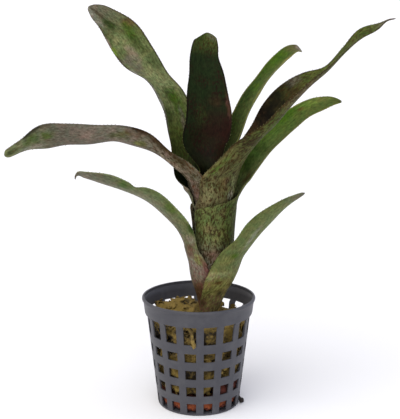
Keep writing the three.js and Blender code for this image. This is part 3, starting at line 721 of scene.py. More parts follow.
def leaf_skin():
    """Leaf: a waxy cuticle over green tissue, which gives a soft broad shine."""
    material, tree, shader = new_material("leaf_skin")
    tint = add_node(tree, "ShaderNodeAttribute", attribute_name="tint")
    spots = add_node(tree, "ShaderNodeAttribute", attribute_name="spots")
    place = add_node(tree, "ShaderNodeAttribute", attribute_name="leaf_mm")
    clouds = add_node(tree, "ShaderNodeTexNoise", {
        "Vector": place.outputs["Vector"], "Scale": 0.3, "Detail": 4.0})
    drawn_out = add_node(tree, "ShaderNodeMapping", {
        "Vector": place.outputs["Vector"], "Scale": (1.0, 0.45, 1.0)})
    spot_noise = add_node(tree, "ShaderNodeTexNoise", {
        "Vector": drawn_out, "Scale": 1.3, "Detail": 3.0, "Roughness": 0.6, "Distortion": 0.3})
    crowded = add_node(tree, "ShaderNodeMath", {0: clouds, 1: 0.3, 2: spot_noise}, operation="MULTIPLY_ADD")
    spot_edge = add_node(tree, "ShaderNodeMapRange", {"Value": crowded, "From Min": 0.62, "From Max": 0.72})
    spot_share = add_node(tree, "ShaderNodeMath", {
        0: spot_edge, 1: spots.outputs["Alpha"]}, operation="MULTIPLY")
    hue_noise = add_node(tree, "ShaderNodeTexNoise", {"Vector": place.outputs["Vector"], "Scale": 0.1})
    redness = add_node(tree, "ShaderNodeMapRange", {"Value": hue_noise, "From Min": 0.45, "From Max": 0.6})
    olive = add_node(tree, "ShaderNodeVectorMath", {0: tint, 1: rgb(SPOT_OLIVE)}, operation="MINIMUM")
    spot_tint = add_node(tree, "ShaderNodeMix", {0: redness, 6: olive, 7: spots}, data_type="RGBA")
    stained = add_node(tree, "ShaderNodeMix", {0: spot_share, 6: tint, 7: spot_tint}, data_type="RGBA")
    ribs = add_node(tree, "ShaderNodeAttribute", attribute_name="ribs")
    streaked = add_node(tree, "ShaderNodeMapping", {
        "Vector": ribs.outputs["Vector"], "Scale": (1.1, 0.05, 1.0)})
    veins = add_node(tree, "ShaderNodeTexNoise", {
        "Vector": streaked, "Scale": 1.0, "Detail": 4.0, "Roughness": 0.6})
    vein_tone = add_node(tree, "ShaderNodeMapRange", {
        "Value": veins, "From Min": 0.3, "From Max": 0.7, "To Min": 0.82, "To Max": 1.18})
    grain = add_node(tree, "ShaderNodeTexNoise", {
        "Vector": drawn_out, "Scale": 1.0, "Detail": 5.0, "Roughness": 0.75})
    grain_tone = add_node(tree, "ShaderNodeMapRange", {
        "Value": grain, "From Min": 0.32, "From Max": 0.68, "To Min": 0.5, "To Max": 1.5})
    tone = add_node(tree, "ShaderNodeMath", {0: vein_tone, 1: grain_tone}, operation="MULTIPLY")
    turned = add_node(tree, "ShaderNodeMapRange", {"Value": clouds, "From Min": 0.38, "From Max": 0.62})
    hue = add_node(tree, "ShaderNodeMix", {0: turned, 6: BROWNER, 7: GREENER}, data_type="RGBA")
    hued = add_node(tree, "ShaderNodeVectorMath", {0: stained, 1: hue}, operation="MULTIPLY")
    toned = add_node(tree, "ShaderNodeVectorMath", {0: hued, 3: tone}, operation="SCALE")
    shine = add_node(tree, "ShaderNodeMapRange", {"Value": veins, "To Min": 0.48, "To Max": 0.66})
    relief = add_node(tree, "ShaderNodeMath", {0: veins, 1: spot_noise}, operation="ADD")
    bump = add_node(tree, "ShaderNodeBump", {"Height": relief, "Distance": 0.00012, "Strength": 0.6})
    set_inputs(tree, shader, {
        "Base Color": toned, "Roughness": shine, "Normal": bump, "Specular IOR Level": 0.05, "IOR": 1.45})
    return material


skin = leaf_skin()
print(skin.name, "has", len(skin.node_tree.nodes), "nodes")

# %% [markdown]
# Now the leaves themselves. A sheet with a Solidify modifier would be quicker, but it would leave a
# blunt edge all round. So each is a closed lens in section: full thickness in the middle, running
# out to nothing at both margins and at the tip, which is how the light catches a real leaf's edge.
# The tip is rounded by sliding the outer points back along the leaf, and the columns of points crowd
# towards the margins, where the skin bends most.
# A leaf's form says how far its tip is rounded. One leaf has a dent in its margin and one a tip that
# is torn back on one side.
# Each leaf keeps its own layer in the patterns, with its back and face apart, so that no two match.

# %% Build the leaves
ROW_SPACING = 1.0
CELLS = 30
CROWDING = 1.3
HALF_THICKNESS = 0.33
TIP_ZONE = 12.0
TIP_TAPER = 2.5
WAVE_HEIGHT = 0.22
WAVE_LENGTH = 3.1
RAGGED_REACH = 4.0
FORM = {
    "leaf_1": {"end": 1.6},
    "leaf_2": {"end": 2.0},
    "leaf_3": {"end": 0.8, "dents": [(1, 0.727, 0.2, 0.022)]},
    "leaf_4": {"end": 1.6, "notch": (1.0, 4.0)},
    "leaf_5": {"end": 1},
    "leaf_6": {"end": 0.4},
    "leaf_7": {"end": 0.5},
    "leaf_8": {"end": 1.0},
}


def leaf_places(rows, form):
    """The grid of places on a leaf: how far along and how far across each point is."""
    length = rows["arc"][-1]
    along = np.linspace(0, length, round(length / ROW_SPACING) + 1)
    across = np.sin(np.linspace(-CROWDING, CROWDING, CELLS + 1)) / math.sin(CROWDING)
    arc, u = np.meshgrid(along, across, indexing="ij")
    cut = form["end"] * (1 - np.sqrt(np.clip(1 - u ** 2, 0, 1)))
    if "notch" in form:
        where, depth = form["notch"]
        cut = cut + depth * np.exp(-((u - where) / 0.4) ** 2)
    slid = arc - cut * np.clip((arc - length + TIP_ZONE) / TIP_ZONE, 0, 1) ** 2
    for side, share, depth, reach in form.get("dents", ()):
        dent = depth * np.exp(-((arc / length - share) / reach) ** 2)
        u = np.where(u * side > 0, u * (1 - dent), u)
    return slid, u


def build_leaf(number, name):
    """One closed leaf with its colours, spots and places kept on its points."""
    rows, form = leaf_rows[name], FORM[name]
    arc, u = leaf_places(rows, form)
    length = rows["arc"][-1]
    to_tip = np.clip((arc - length + TIP_TAPER) / TIP_TAPER, 0, 1)
    edge = u / np.abs(u[:, -1:])
    half = HALF_THICKNESS * np.sqrt(np.clip(1 - np.abs(edge) ** 6, 0, 1)) * np.sqrt(1 - 0.9 * to_tip ** 2)
    half[-1] = 0
    half[:, [0, -1]] = 0
    open_blade = smoothstep((arc - rows["blade_from"]) / 20 - 0.5)
    wave = WAVE_HEIGHT * np.sin(arc / WAVE_LENGTH + number) * edge ** 3 * open_blade
    back = surface(rows, arc, u, wave + half)
    face = surface(rows, arc, u, wave - half)
    count, columns = arc.shape
    outer = np.arange(count * columns).reshape(count, columns)
    inner = outer.copy()
    inner[:-1, 1:-1] = np.arange((count - 1) * (columns - 2)).reshape(count - 1, -1) + count * columns
    points = np.concatenate([back.reshape(-1, 3), face[:-1, 1:-1].reshape(-1, 3)])
    cells = [(i, j) for i in range(count - 1) for j in range(columns - 1)]
    faces = [(outer[i, j], outer[i, j + 1], outer[i + 1, j + 1], outer[i + 1, j]) for i, j in cells]
    faces += [(inner[i, j], inner[i + 1, j], inner[i + 1, j + 1], inner[i, j + 1]) for i, j in cells]
    faces += [tuple(dict.fromkeys((outer[0, j], inner[0, j], inner[0, j + 1], outer[0, j + 1])))
              for j in range(columns - 1)]
    leaf = new_piece(name + "_blade", points, [tuple(int(v) for v in f) for f in faces], material=skin)
    share = np.concatenate([arc.ravel(), arc[:-1, 1:-1].ravel()]) / length
    spread = np.concatenate([u.ravel(), u[:-1, 1:-1].ravel()])
    on_back = np.arange(len(points)) < count * columns
    width = np.interp(share * length, rows["arc"], rows["width"])
    layer = 40.0 * number + 9 * on_back
    leaf_mm = np.stack([spread * width / 2, share * length, layer], axis=1)
    ragged = np.array([0.9 * noise.fractal(Vector(p) / RAGGED_REACH, 0.6, 2.0, 3) for p in leaf_mm])
    tint, spots = painted(PAINT[name], share, spread, on_back, rows["blade_from"] / length, ragged)
    ribs = np.stack([9 * spread, share * length, layer], axis=1)
    for label, values in (("tint", tint), ("spots", spots), ("leaf_mm", leaf_mm), ("ribs", ribs)):
        point_values(leaf, label, values)
    finished(leaf, "leaf", name)


for number, name in enumerate(LEAVES):
    build_leaf(number, name)

# %% [markdown]
# The margins of a bromeliad leaf carry small spines that point towards the tip, about 1.7 mm apart
# and half a millimetre long. They could be placed one by one, but they follow a path, so a tree
# walks along each margin and stands a small cone on every step, turned outwards and forwards.

# %% Spines along the margins
SPINE_GAP = 1.7
SPINE_LENGTH = 0.55
SPINE_RADIUS = 0.15
SPINE_SUNK = 0.06
SPINE_LEAN = 0.9
BELOW_BLADE = 8
SHORT_OF_TIP = 6
LINE_STEP = 0.8


def spine_tree():
    """Stands a small cone on every step along the lines, along the outward direction kept there."""
    tree, given = new_tree("marginal_spines", Gap="Float", Length="Float", Radius="Float", Seed="Int")
    line = add_node(tree, "GeometryNodeMeshToCurve", {"Mesh": given["Mesh"]})
    steps = add_node(tree, "GeometryNodeResampleCurve", {
        "Curve": line, "Length": given["Gap"]}, mode="LENGTH")
    outward = add_node(tree, "GeometryNodeInputNamedAttribute", {
        "Name": "outward"}, data_type="FLOAT_VECTOR")
    turned = add_node(tree, "FunctionNodeAlignRotationToVector", {"Vector": outward}, axis="Z")
    cone = add_node(tree, "GeometryNodeMeshCone", {
        "Vertices": 5, "Radius Bottom": given["Radius"], "Depth": given["Length"]})
    size = add_node(tree, "FunctionNodeRandomValue", {2: 0.6, 3: 1.15, "Seed": given["Seed"]})
    stood = add_node(tree, "GeometryNodeInstanceOnPoints", {
        "Points": steps, "Instance": cone, "Rotation": turned, "Scale": size})
    real = add_node(tree, "GeometryNodeRealizeInstances", {"Geometry": stood})
    return close_tree(tree, given, real)


def spine_horn():
    """Horn: the hard dry tip of a leaf tooth, olive and a little shiny, in patches of about 1 mm."""
    material, tree, shader = new_material("spine_horn")
    place = add_node(tree, "ShaderNodeTexCoord")
    grain = add_node(tree, "ShaderNodeTexNoise", {"Vector": place.outputs["Object"], "Scale": 900.0})
    tone = add_node(tree, "ShaderNodeMix", {
        0: grain, 6: linear("#3e4420"), 7: linear("#7a7a42")}, data_type="RGBA")
    set_inputs(tree, shader, {"Base Color": tone, "Roughness": 0.45})
    return material


def margin_lines():
    """The visible margins of all leaves as lines, with the direction out of the leaf at each point."""
    points, edges, outward = [], [], []
    for name, rows in leaf_rows.items():
        length = rows["arc"][-1]
        arc = np.arange(rows["blade_from"] - BELOW_BLADE, length - SHORT_OF_TIP, LINE_STEP)
        for side in (-1.0, 1.0):
            u = np.full(len(arc), side)
            rim = surface(rows, arc, u, 0 * arc)
            away = unit(rim - surface(rows, arc, 0.9 * u, 0 * arc))
            forward = unit(np.gradient(rim, axis=0))
            start = len(points)
            points += list(rim - SPINE_SUNK * away)
            edges += [(start + k, start + k + 1) for k in range(len(arc) - 1)]
            outward += list(away + SPINE_LEAN * forward)
    return points, edges, outward


spine_points, spine_edges, spine_outward = margin_lines()
spines = new_piece("marginal_spines", spine_points, edges=spine_edges)
point_values(spines, "outward", spine_outward)
grown(spines, spine_tree(), Gap=SPINE_GAP * MM, Length=SPINE_LENGTH * MM, Radius=SPINE_RADIUS * MM,
      Seed=4, Material=spine_horn())
finished(spines, "leaf")

# %% [markdown]
# ## The net pot
# A net pot is moulded in one shot from polypropylene: a thin cup with a stiff rim, whose wall is
# mostly windows, so that roots can grow out. The wall could be cut with 80 boxes, but cut edges
# take no clean bevel. Instead one sixteenth of the wall is drawn as a grid with the windows left out,
# and a tree repeats it round the axis and welds the seams. The floor is made of eighths likewise.

# %% Sizes of the pot
PROFILE = [
    (19.4, 0), (19.8, 0.25), (20, 0.6), (20.06, 1.1), (20.64, 6.2), (21.09, 10.1), (21.64, 15), (22.1, 19),
    (22.62, 23.6), (23.12, 27.9), (23.62, 32.3), (24.14, 36.8), (24.6, 41), (25.1, 45), (25.55, 45.45),
    (26.02, 46), (26.2, 46.5), (26.55, 49.4), (26.93, 52.3), (27.3, 52.55), (27.5, 52.85), (27.5, 53.5),
    (27.35, 53.85), (27.1, 54),
]
WINDOW_ROWS = [(1.1, 6.2), (10.1, 15), (19, 23.6), (27.9, 32.3), (36.8, 46)]
COLUMNS = 16
FLOOR_PARTS = 8
RIB_WIDTH = 3.6
FRONT_RIB = 271.6
INSIDE_REACH = 27.3
WALL = 0.8
FLOOR = 1.2
FLOOR_UNDER = 0.05
HALF_SLOT = 1.5
WELD = 0.01
EDGE_BEVEL = 0.14


def wall_radius(z):
    """Outer radius of the pot at a height."""
    return float(np.interp(z, [height for _, height in PROFILE], [radius for radius, _ in PROFILE]))


print("the pot is", 2 * wall_radius(PROFILE[-3][1]), "mm across the rim and", PROFILE[-1][1], "mm tall")

# %% [markdown]
# Two helpers come before the pot. The tree repeats a mesh round the upright axis. The function makes
# a slab between two grids of points and leaves out the cells that are windows, with a closed edge
# round each. Its two end lines stay open, so that the copies can be welded there.

# %% Repeat a slab with windows
def repeat_tree():
    """Repeats a mesh round the upright axis and welds the copies where they meet."""
    tree, given = new_tree("repeat_round_the_axis", Count="Int", Turn="Float", Weld="Float")
    seats = add_node(tree, "GeometryNodePoints", {"Count": given["Count"]})
    index = add_node(tree, "GeometryNodeInputIndex")
    share = add_node(tree, "ShaderNodeMath", {0: index, 1: given["Count"]}, operation="DIVIDE")
    angle = add_node(tree, "ShaderNodeMath", {
        0: share, 1: 2 * math.pi, 2: given["Turn"]}, operation="MULTIPLY_ADD")
    euler = add_node(tree, "ShaderNodeCombineXYZ", {"Z": angle})
    turned = add_node(tree, "FunctionNodeEulerToRotation", {"Euler": euler})
    stood = add_node(tree, "GeometryNodeInstanceOnPoints", {
        "Points": seats, "Instance": given["Mesh"], "Rotation": turned})
    real = add_node(tree, "GeometryNodeRealizeInstances", {"Geometry": stood})
    welded = add_node(tree, "GeometryNodeMergeByDistance", {"Geometry": real, "Distance": given["Weld"]})
    return close_tree(tree, given, welded)


def slab_with_holes(outside, inside, holes):
    """A closed slab between two grids of points, open at its two end lines, without the given cells."""
    count, lines = len(outside), len(outside[0])
    points = [p for grid in (outside, inside) for row in grid for p in row]
    faces = []

    def at(side, row, line):
        return (side * count + row) * lines + line

    def rung(a, b):
        faces.append((at(0, *a), at(0, *b), at(1, *b), at(1, *a)))

    for i in range(count - 1):
        for j in range(lines - 1):
            corners = [(i, j), (i, j + 1), (i + 1, j + 1), (i + 1, j)]
            if (i, j) not in holes:
                faces.append(tuple(at(0, *c) for c in corners))
                faces.append(tuple(at(1, *c) for c in reversed(corners)))
                continue
            for k, beside in enumerate([(i - 1, j), (i, j + 1), (i + 1, j), (i, j - 1)]):
                if beside not in holes:
                    rung(corners[k], corners[(k + 1) % 4])
    for j in range(lines - 1):
        rung((0, j), (0, j + 1))
        rung((count - 1, j), (count - 1, j + 1))
    return points, faces


# %% [markdown]
# Polypropylene comes out of the mould with an even satin skin. The blue-grey colour is in the
# plastic, so worn places don't show another colour. Only a faint unevenness of the skin, with grains
# of about 1 mm, and dust in patches of about 8 mm keep it from looking like plain paint.
# The noise reads Object coordinates, which are in metres: a scale of 130 makes cells of 1 / 130 m.

# %% Pot plastic and pot
def moulded_plastic():
    """Polypropylene, injection moulded: satin, with a faint orange-peel skin and a little dust."""
    material, tree, shader = new_material("moulded_polypropylene")
    place = add_node(tree, "ShaderNodeTexCoord")
    dust = add_node(tree, "ShaderNodeTexNoise", {
        "Vector": place.outputs["Object"], "Scale": 130.0, "Detail": 5.0, "Roughness": 0.65})
    dusty = add_node(tree, "ShaderNodeMapRange", {"Value": dust, "From Min": 0.45, "From Max": 0.75})
    tone = add_node(tree, "ShaderNodeMix", {
        0: dusty, 6: linear("#434348"), 7: linear("#515154")}, data_type="RGBA")
    skin_noise = add_node(tree, "ShaderNodeTexNoise", {"Vector": place.outputs["Object"], "Scale": 900.0})
    bump = add_node(tree, "ShaderNodeBump", {"Height": skin_noise, "Distance": 0.00004, "Strength": 0.4})
    shine = add_node(tree, "ShaderNodeMapRange", {"Value": dust, "To Min": 0.38, "To Max": 0.55})
    set_inputs(tree, shader, {
        "Base Color": tone, "Roughness": shine, "Normal": bump, "IOR": 1.49, "Specular IOR Level": 0.3})
    return material


def wall_piece():
    """One sixteenth of the wall: half a rib, a column of windows and half a rib."""
    half_column = math.pi / COLUMNS
    window_cells = range(2, 6)  # the rib's own cells are two on each side of these four

    def line_angles(radius):
        window = half_column - RIB_WIDTH / 2 / radius
        middle = (half_column + window) / 2
        return [-half_column, -middle, -window, -window / 2, 0, window / 2, window, middle, half_column]

    def row(radius, z, shaped_like):
        return [(radius * math.cos(a), radius * math.sin(a), z) for a in line_angles(shaped_like)]

    outside = [row(radius, z, radius) for radius, z in PROFILE]
    inside = [row(min(radius, INSIDE_REACH) - WALL, z, radius) for radius, z in PROFILE]
    holes = {(i, j) for i in range(len(PROFILE) - 1) for j in window_cells
             for low, high in WINDOW_ROWS if low <= PROFILE[i][1] and PROFILE[i + 1][1] <= high}
    return new_piece("net_pot_wall", *slab_with_holes(outside, inside, holes))


def floor_piece():
    """One eighth of the floor, with a slot that runs outwards."""
    radii = [0, 3, 8, 12.5, 17, 18, 19]
    half_part = math.pi / FLOOR_PARTS

    def row(radius, z):
        slot = math.asin(HALF_SLOT / max(radius, 8))
        beside = (half_part + slot) / 2
        angles = [-half_part, -beside, -slot, 0, slot, beside, half_part]
        return [(radius * math.cos(a), radius * math.sin(a), z) for a in angles]

    slot_cells = {(i, j) for i in (2, 3) for j in (2, 3)}
    upper, under = [[row(r, z) for r in radii] for z in (FLOOR, FLOOR_UNDER)]
    return new_piece("net_pot_floor", *slab_with_holes(upper, under, slot_cells))


def tidied(piece):
    """Welds what touches and turns every face outwards."""
    shape = bmesh.new()
    shape.from_mesh(piece.data)
    bmesh.ops.remove_doubles(shape, verts=shape.verts, dist=1e-6)
    bmesh.ops.dissolve_degenerate(shape, edges=shape.edges, dist=1e-7)
    bmesh.ops.delete(shape, geom=[edge for edge in shape.edges if edge.is_wire], context="EDGES")
    bmesh.ops.recalc_face_normals(shape, faces=shape.faces)
    open_edges = sum(not edge.is_manifold for edge in shape.edges)
    shape.to_mesh(piece.data)
    shape.free()
    print(piece.name, "has", open_edges, "open edges")


def joined(name, pieces):
    """Several mesh objects as one, with their materials."""
    shape = bmesh.new()
    for piece in pieces:
        shape.from_mesh(piece.data)
    mesh = bpy.data.meshes.new(name)
    shape.to_mesh(mesh)
    shape.free()
    for material in pieces[0].data.materials:
        mesh.materials.append(material)
    for piece in pieces:
        bpy.data.objects.remove(piece)
    whole = bpy.data.objects.new(name, mesh)
    bpy.context.collection.objects.link(whole)
    mesh.polygons.foreach_set("use_smooth", [True] * len(mesh.polygons))
    return whole


plastic = moulded_plastic()
around = repeat_tree()
half_turn = math.pi / COLUMNS
pot_wall = grown(wall_piece(), around, Count=COLUMNS, Turn=math.radians(FRONT_RIB) + half_turn,
                 Weld=WELD * MM, Material=plastic)
pot_floor = grown(floor_piece(), around, Count=FLOOR_PARTS, Turn=0.0, Weld=WELD * MM, Material=plastic)
for piece in (pot_wall, pot_floor):
    tidied(piece)
net_pot = joined("net_pot_moulding", [pot_wall, pot_floor])
softened = net_pot.modifiers.new("edge_bevel", "BEVEL")
softened.width = EDGE_BEVEL * MM
softened.segments = 2
softened.limit_method = "ANGLE"
softened.angle_limit = math.radians(50)
softened.harden_normals = True
finished(net_pot, "pot_plastic", "net_pot")

# %% [markdown]
# ## The clay pebbles
# The lowest windows show orange-red balls of expanded clay, 7 to 8 mm across, with smaller bits
# between them. They are fired until they puff up, so each is a lumpy ball with a rough matt skin.
# A physics run could pour them in, but rules put each where the windows show one. A tree stands a
# ball on each point of a list, turned at random, and then dents all of them with one noise.
# Scorched patches are about 4 mm across and the pores 0.6 mm.

# %% Clay pebbles
CLAY_LEVEL = 9.6
RISE_FROM, RISE_TO, RISE_HEIGHT = 4.1, 7.6, 5.6
GAP = 0.3
LUMP_DEPTH = 0.5
LUMPS_PER_METRE = 420.0
# Pebbles are painted darker from 7 mm up to 9 mm above the floor and higher, as painted shade under the wad.
SHADE_FROM = 7.0
SHADE_FULL = 9.0
PEBBLE_RADII = (3.9, 3.6, 4.1, 3.7, 4, 3.8)
# A ring by the wall is a count, its first radius in that list, a first turn and a step in degrees,
# the height of its top where it doesn't lie on the floor, a share of the full size, and its painted shade.
PEBBLE_RINGS = [
    (12, 0, 8, 30, None, 1.0, 0.0),
    (5, 2, -50, 25, CLAY_LEVEL + RISE_HEIGHT - GAP, 1.0, 0.8),
    (12, 0, 23, 30, CLAY_LEVEL - 1, 1.0, 0.15),
    (24, 0, 15.5, 15, None, 0.62, 0.0),
    (40, 0, 4, 9, None, 0.38, 0.9),
]


def clay_top(x):
    """Top of the clay layer at a place across the pot: it is higher on the right."""
    return CLAY_LEVEL + RISE_HEIGHT * float(smoothstep((x - RISE_FROM) / (RISE_TO - RISE_FROM)))


def pebble_tree():
    """Stands a ball of each point's own radius there, turned at random, and dents them all."""
    tree, given = new_tree("lumpy_pebbles", Lumps="Float", Seed="Int")
    ball = add_node(tree, "GeometryNodeMeshIcoSphere", {"Radius": 1.0, "Subdivisions": 4})
    radius = add_node(tree, "GeometryNodeInputNamedAttribute", {"Name": "radius_m"}, data_type="FLOAT")
    spin = add_node(tree, "FunctionNodeRandomValue", {
        0: (0.0, 0.0, 0.0), 1: (6.28, 6.28, 6.28), "Seed": given["Seed"]}, data_type="FLOAT_VECTOR")
    turned = add_node(tree, "FunctionNodeEulerToRotation", {"Euler": spin})
    points = add_node(tree, "GeometryNodeMeshToPoints", {"Mesh": given["Mesh"]})
    stood = add_node(tree, "GeometryNodeInstanceOnPoints", {
        "Points": points, "Instance": ball, "Rotation": turned, "Scale": radius})
    real = add_node(tree, "GeometryNodeRealizeInstances", {"Geometry": stood})
    return close_tree(tree, given, dented(tree, real, given["Lumps"], LUMPS_PER_METRE, 3.0))


def fired_clay():
    """Expanded clay, fired: matt orange-red, with scorched patches and fine pores, and a darker tone as
    painted shade on pebbles high in the pot and on those marked as shaded.
    """
    material, tree, shader = new_material("fired_clay")
    place = add_node(tree, "ShaderNodeTexCoord")
    scorch = add_node(tree, "ShaderNodeTexNoise", {
        "Vector": place.outputs["Object"], "Scale": 260.0, "Detail": 4.0, "Roughness": 0.6})
    patch = add_node(tree, "ShaderNodeMapRange", {"Value": scorch, "From Min": 0.4, "From Max": 0.68})
    fired = add_node(tree, "ShaderNodeMix", {
        0: patch, 6: linear("#8c431c"), 7: linear("#562812")}, data_type="RGBA")
    # Painted shade: the kept shade of each ring and the height of a pebble darken it towards dark red.
    painted_shade = add_node(tree, "ShaderNodeAttribute", attribute_name="painted_shade")
    where = add_node(tree, "ShaderNodeSeparateXYZ", {"Vector": place.outputs["Object"]})
    high_shade = add_node(tree, "ShaderNodeMapRange", {
        "Value": where.outputs["Z"], "From Min": SHADE_FROM * MM, "From Max": SHADE_FULL * MM,
        "To Max": 0.85})
    dark = add_node(tree, "ShaderNodeMath", {0: painted_shade.outputs["Fac"], 1: high_shade}, operation="MAXIMUM")
    tone = add_node(tree, "ShaderNodeMix", {0: dark, 6: fired, 7: linear("#45170f")}, data_type="RGBA")
    pores = add_node(tree, "ShaderNodeTexVoronoi", {"Vector": place.outputs["Object"], "Scale": 1600.0})
    bump = add_node(tree, "ShaderNodeBump", {"Height": pores, "Distance": 0.0002, "Strength": 0.6})
    set_inputs(tree, shader, {"Base Color": tone, "Normal": bump, "Roughness": 0.92})
    return material


def pebble_places():
    """Centre, radius and painted shade of each pebble: rings by the wall, a heap on the right, the middle."""
    floor = FLOOR + GAP
    places = []
    for count, first, turn, step, level, share, painted_shade in PEBBLE_RINGS:
        for i in range(count):
            r = share * PEBBLE_RADII[(i + first) % len(PEBBLE_RADII)]
            z = level - r if level else floor + r
            reach = wall_radius(z) - WALL - GAP - r - 0.1
            angle = math.radians(turn + step * i)
            places.append((reach * math.cos(angle), reach * math.sin(angle), z, r, painted_shade))
    size = PEBBLE_RADII[0]
    for i in range(6):
        angle = math.radians(60 * i)
        places.append((8 * math.cos(angle), 8 * math.sin(angle), floor + size, size, 0))
    places.append((0, 0, floor + size, size, 0))
    return np.array(places)


pebbles_at = pebble_places()
pebbles = new_piece("clay_pebble_layer", pebbles_at[:, :3])
point_values(pebbles, "radius_m", pebbles_at[:, 3] * MM)
point_values(pebbles, "painted_shade", pebbles_at[:, 4])
grown(pebbles, pebble_tree(), Lumps=-LUMP_DEPTH * MM, Seed=7, Material=fired_clay())
print(len(pebbles_at), "balls and bits of clay")
finished(pebbles, "clay", "clay_pebbles")

# %% [markdown]
# ## The growing medium
# The plant stands in a wad of brown stuff: shreds of dried leaf and bark fibre, crumpled so that
# folds catch the light and deep hollows stay dark. One block with a bumpy skin would look like bread.
# So a dark crumpled core fills the pot, and a tree lays hundreds of curled shreds flat on it, each
# with its own turn, size and shade. Its open top and its right side are painted paler, as painted
# light, and its left side and its side high under the rim darker, as painted shade.

# %% Core of the wad
MEDIUM_TOP = 43.3
MEDIUM_INSET = 0.6
MOUND = {"x": -9, "y": 10, "height": 6.4, "sideways": 200, "backwards": 48}
PLANT_X = tube_x(44)
DIP_REACH = 5.0
FOLD_SIZE = 6.0
SIDE_FOLDS = 2.2
TOP_FOLDS = 2.0
CORE_SIDES = 144
BASE_RINGS = 9
SIDE_ROWS = 48
TOP_RINGS = 26


def lump(angle, z):
    """Broad swells of the wad's side."""
    broad = math.sin(5 * angle + 0.35 * z) * math.cos(3 * angle - 0.5 * z)
    return broad + 0.6 * math.sin(11 * angle + 0.8 * z)


def medium_side(angle, z):
    """Radius of the wad's side, just inside the wall."""
    return wall_radius(z) - WALL - MEDIUM_INSET - 0.28 * (1.6 + lump(angle, z))


def medium_top(x, y):
    """Height of the wad's top, with its mound at the back left and a dip where the plant stands."""
    off_x, off_y = x - MOUND["x"], y - MOUND["y"]
    mound = MOUND["height"] * math.exp(-off_x ** 2 / MOUND["sideways"] - off_y ** 2 / MOUND["backwards"])
    top = MEDIUM_TOP + mound + 0.5 * math.sin(0.7 * x + 0.2 * y) * math.cos(0.5 * y)
    from_plant = math.hypot(x - PLANT_X, y)
    return min(top, MEDIUM_TOP - 0.6 + 2.0 * max(0.0, from_plant - DIP_REACH))


def crumple(point):
    """Sharp folds: 0 on a crest and up to 1 in a hollow."""
    broad = abs(noise.noise(Vector(point) / FOLD_SIZE))
    fine = abs(noise.noise(Vector(point) * 2.3 / FOLD_SIZE))
    return min(1.0, 2.2 * broad + 0.5 * fine)


def medium_core():
    """The wad as rings of points: out across its base, up its side and in across its top."""
    rings = []
    angles = [2 * math.pi * i / CORE_SIDES for i in range(CORE_SIDES)]
    for k in range(1, BASE_RINGS):
        ring = []
        for a in angles:
            r = k / BASE_RINGS * medium_side(a, CLAY_LEVEL)
            ring.append((r * math.cos(a), r * math.sin(a), clay_top(r * math.cos(a)) + 2 * GAP))
        rings.append(ring)
    for k in range(SIDE_ROWS + 1):
        ring = []
        for a in angles:
            low = clay_top(19 * math.cos(a)) + 2 * GAP
            high = medium_top(22 * math.cos(a), 22 * math.sin(a)) - 1.2
            z = low + (high - low) * k / SIDE_ROWS
            r = medium_side(a, z)
            r -= SIDE_FOLDS * crumple((r * math.cos(a), r * math.sin(a), z))
            ring.append((r * math.cos(a), r * math.sin(a), z))
        rings.append(ring)
    for k in range(1, TOP_RINGS):
        ring = []
        for a in angles:
            r = (1 - k / TOP_RINGS) * (medium_side(a, MEDIUM_TOP) - 0.7)
            x, y = r * math.cos(a), r * math.sin(a)
            z = medium_top(x, y)
            ring.append((x, y, z - TOP_FOLDS * crumple((x, y, z))))
        rings.append(ring)
    points = [p for ring in rings for p in ring]
    points += [(0, 0, clay_top(0) + 2 * GAP), (0, 0, medium_top(0, 0) - 0.5)]
    faces = []
    bottom, top = len(points) - 2, len(points) - 1
    last = (len(rings) - 1) * CORE_SIDES
    for i in range(CORE_SIDES):
        j = (i + 1) % CORE_SIDES
        faces += [(k + i, k + j, k + CORE_SIDES + j, k + CORE_SIDES + i) for k in range(0, last, CORE_SIDES)]
        faces += [(bottom, j, i), (top, last + i, last + j)]
    return new_piece("medium_core", points, faces)


core = medium_core()
tidied(core)


# %% [markdown]
# A shred is a strip of dead leaf, a few millimetres long and as thin as paper, that has dried into
# a curl. Hundreds could be bent by hand, but four drawn by rule with different curls are enough,
# because the tree picks one for each place and gives it its own turn and size.

# %% Shreds and the tree that scatters them
SHREDS_PER_SQUARE_METRE = 90000.0
SMALLEST_SHRED, LARGEST_SHRED = 0.5, 1.1
SHRED_LEAN = 0.12
SHRED_LENGTH = 8
SHRED_HALF_WIDTHS = (2.4, 1.3, 2.0, 0.9)
SHRED_HALF_THICKNESS = 0.07


def shred(kind):
    """A curled flake or strip with ragged sides, closed with a thin edge."""
    across, along = 4, 9

    def place(t, u, raised):
        ragged = 0.75 + 0.35 * math.sin(9 * t + 2 * kind) * math.sin(23 * t + kind)
        half = SHRED_HALF_WIDTHS[kind] * ragged * math.sqrt(max(0.02, 1 - (2 * t - 1) ** 4))
        curl = 0.35 * math.sin(5 * t + kind) + 0.4 * u * u * math.cos(3 * t + kind)
        twist = 0.2 * math.sin(5 * u + 4 * t)
        return SHRED_LENGTH * (t - 0.5), half * u, curl + twist + raised

    def grid(raised):
        return [[place(i / along, 2 * j / across - 1, raised) for j in range(across + 1)]
                for i in range(along + 1)]

    points, faces = slab_with_holes(grid(SHRED_HALF_THICKNESS), grid(-SHRED_HALF_THICKNESS), set())
    columns, other_side = across + 1, (along + 1) * (across + 1)
    for i in range(along):
        for j in (0, across):
            a = i * columns + j
            faces.append((a, a + columns, a + columns + other_side, a + other_side))
    piece = new_piece(f"shred_{kind}", points, faces)
    tidied(piece)
    return piece


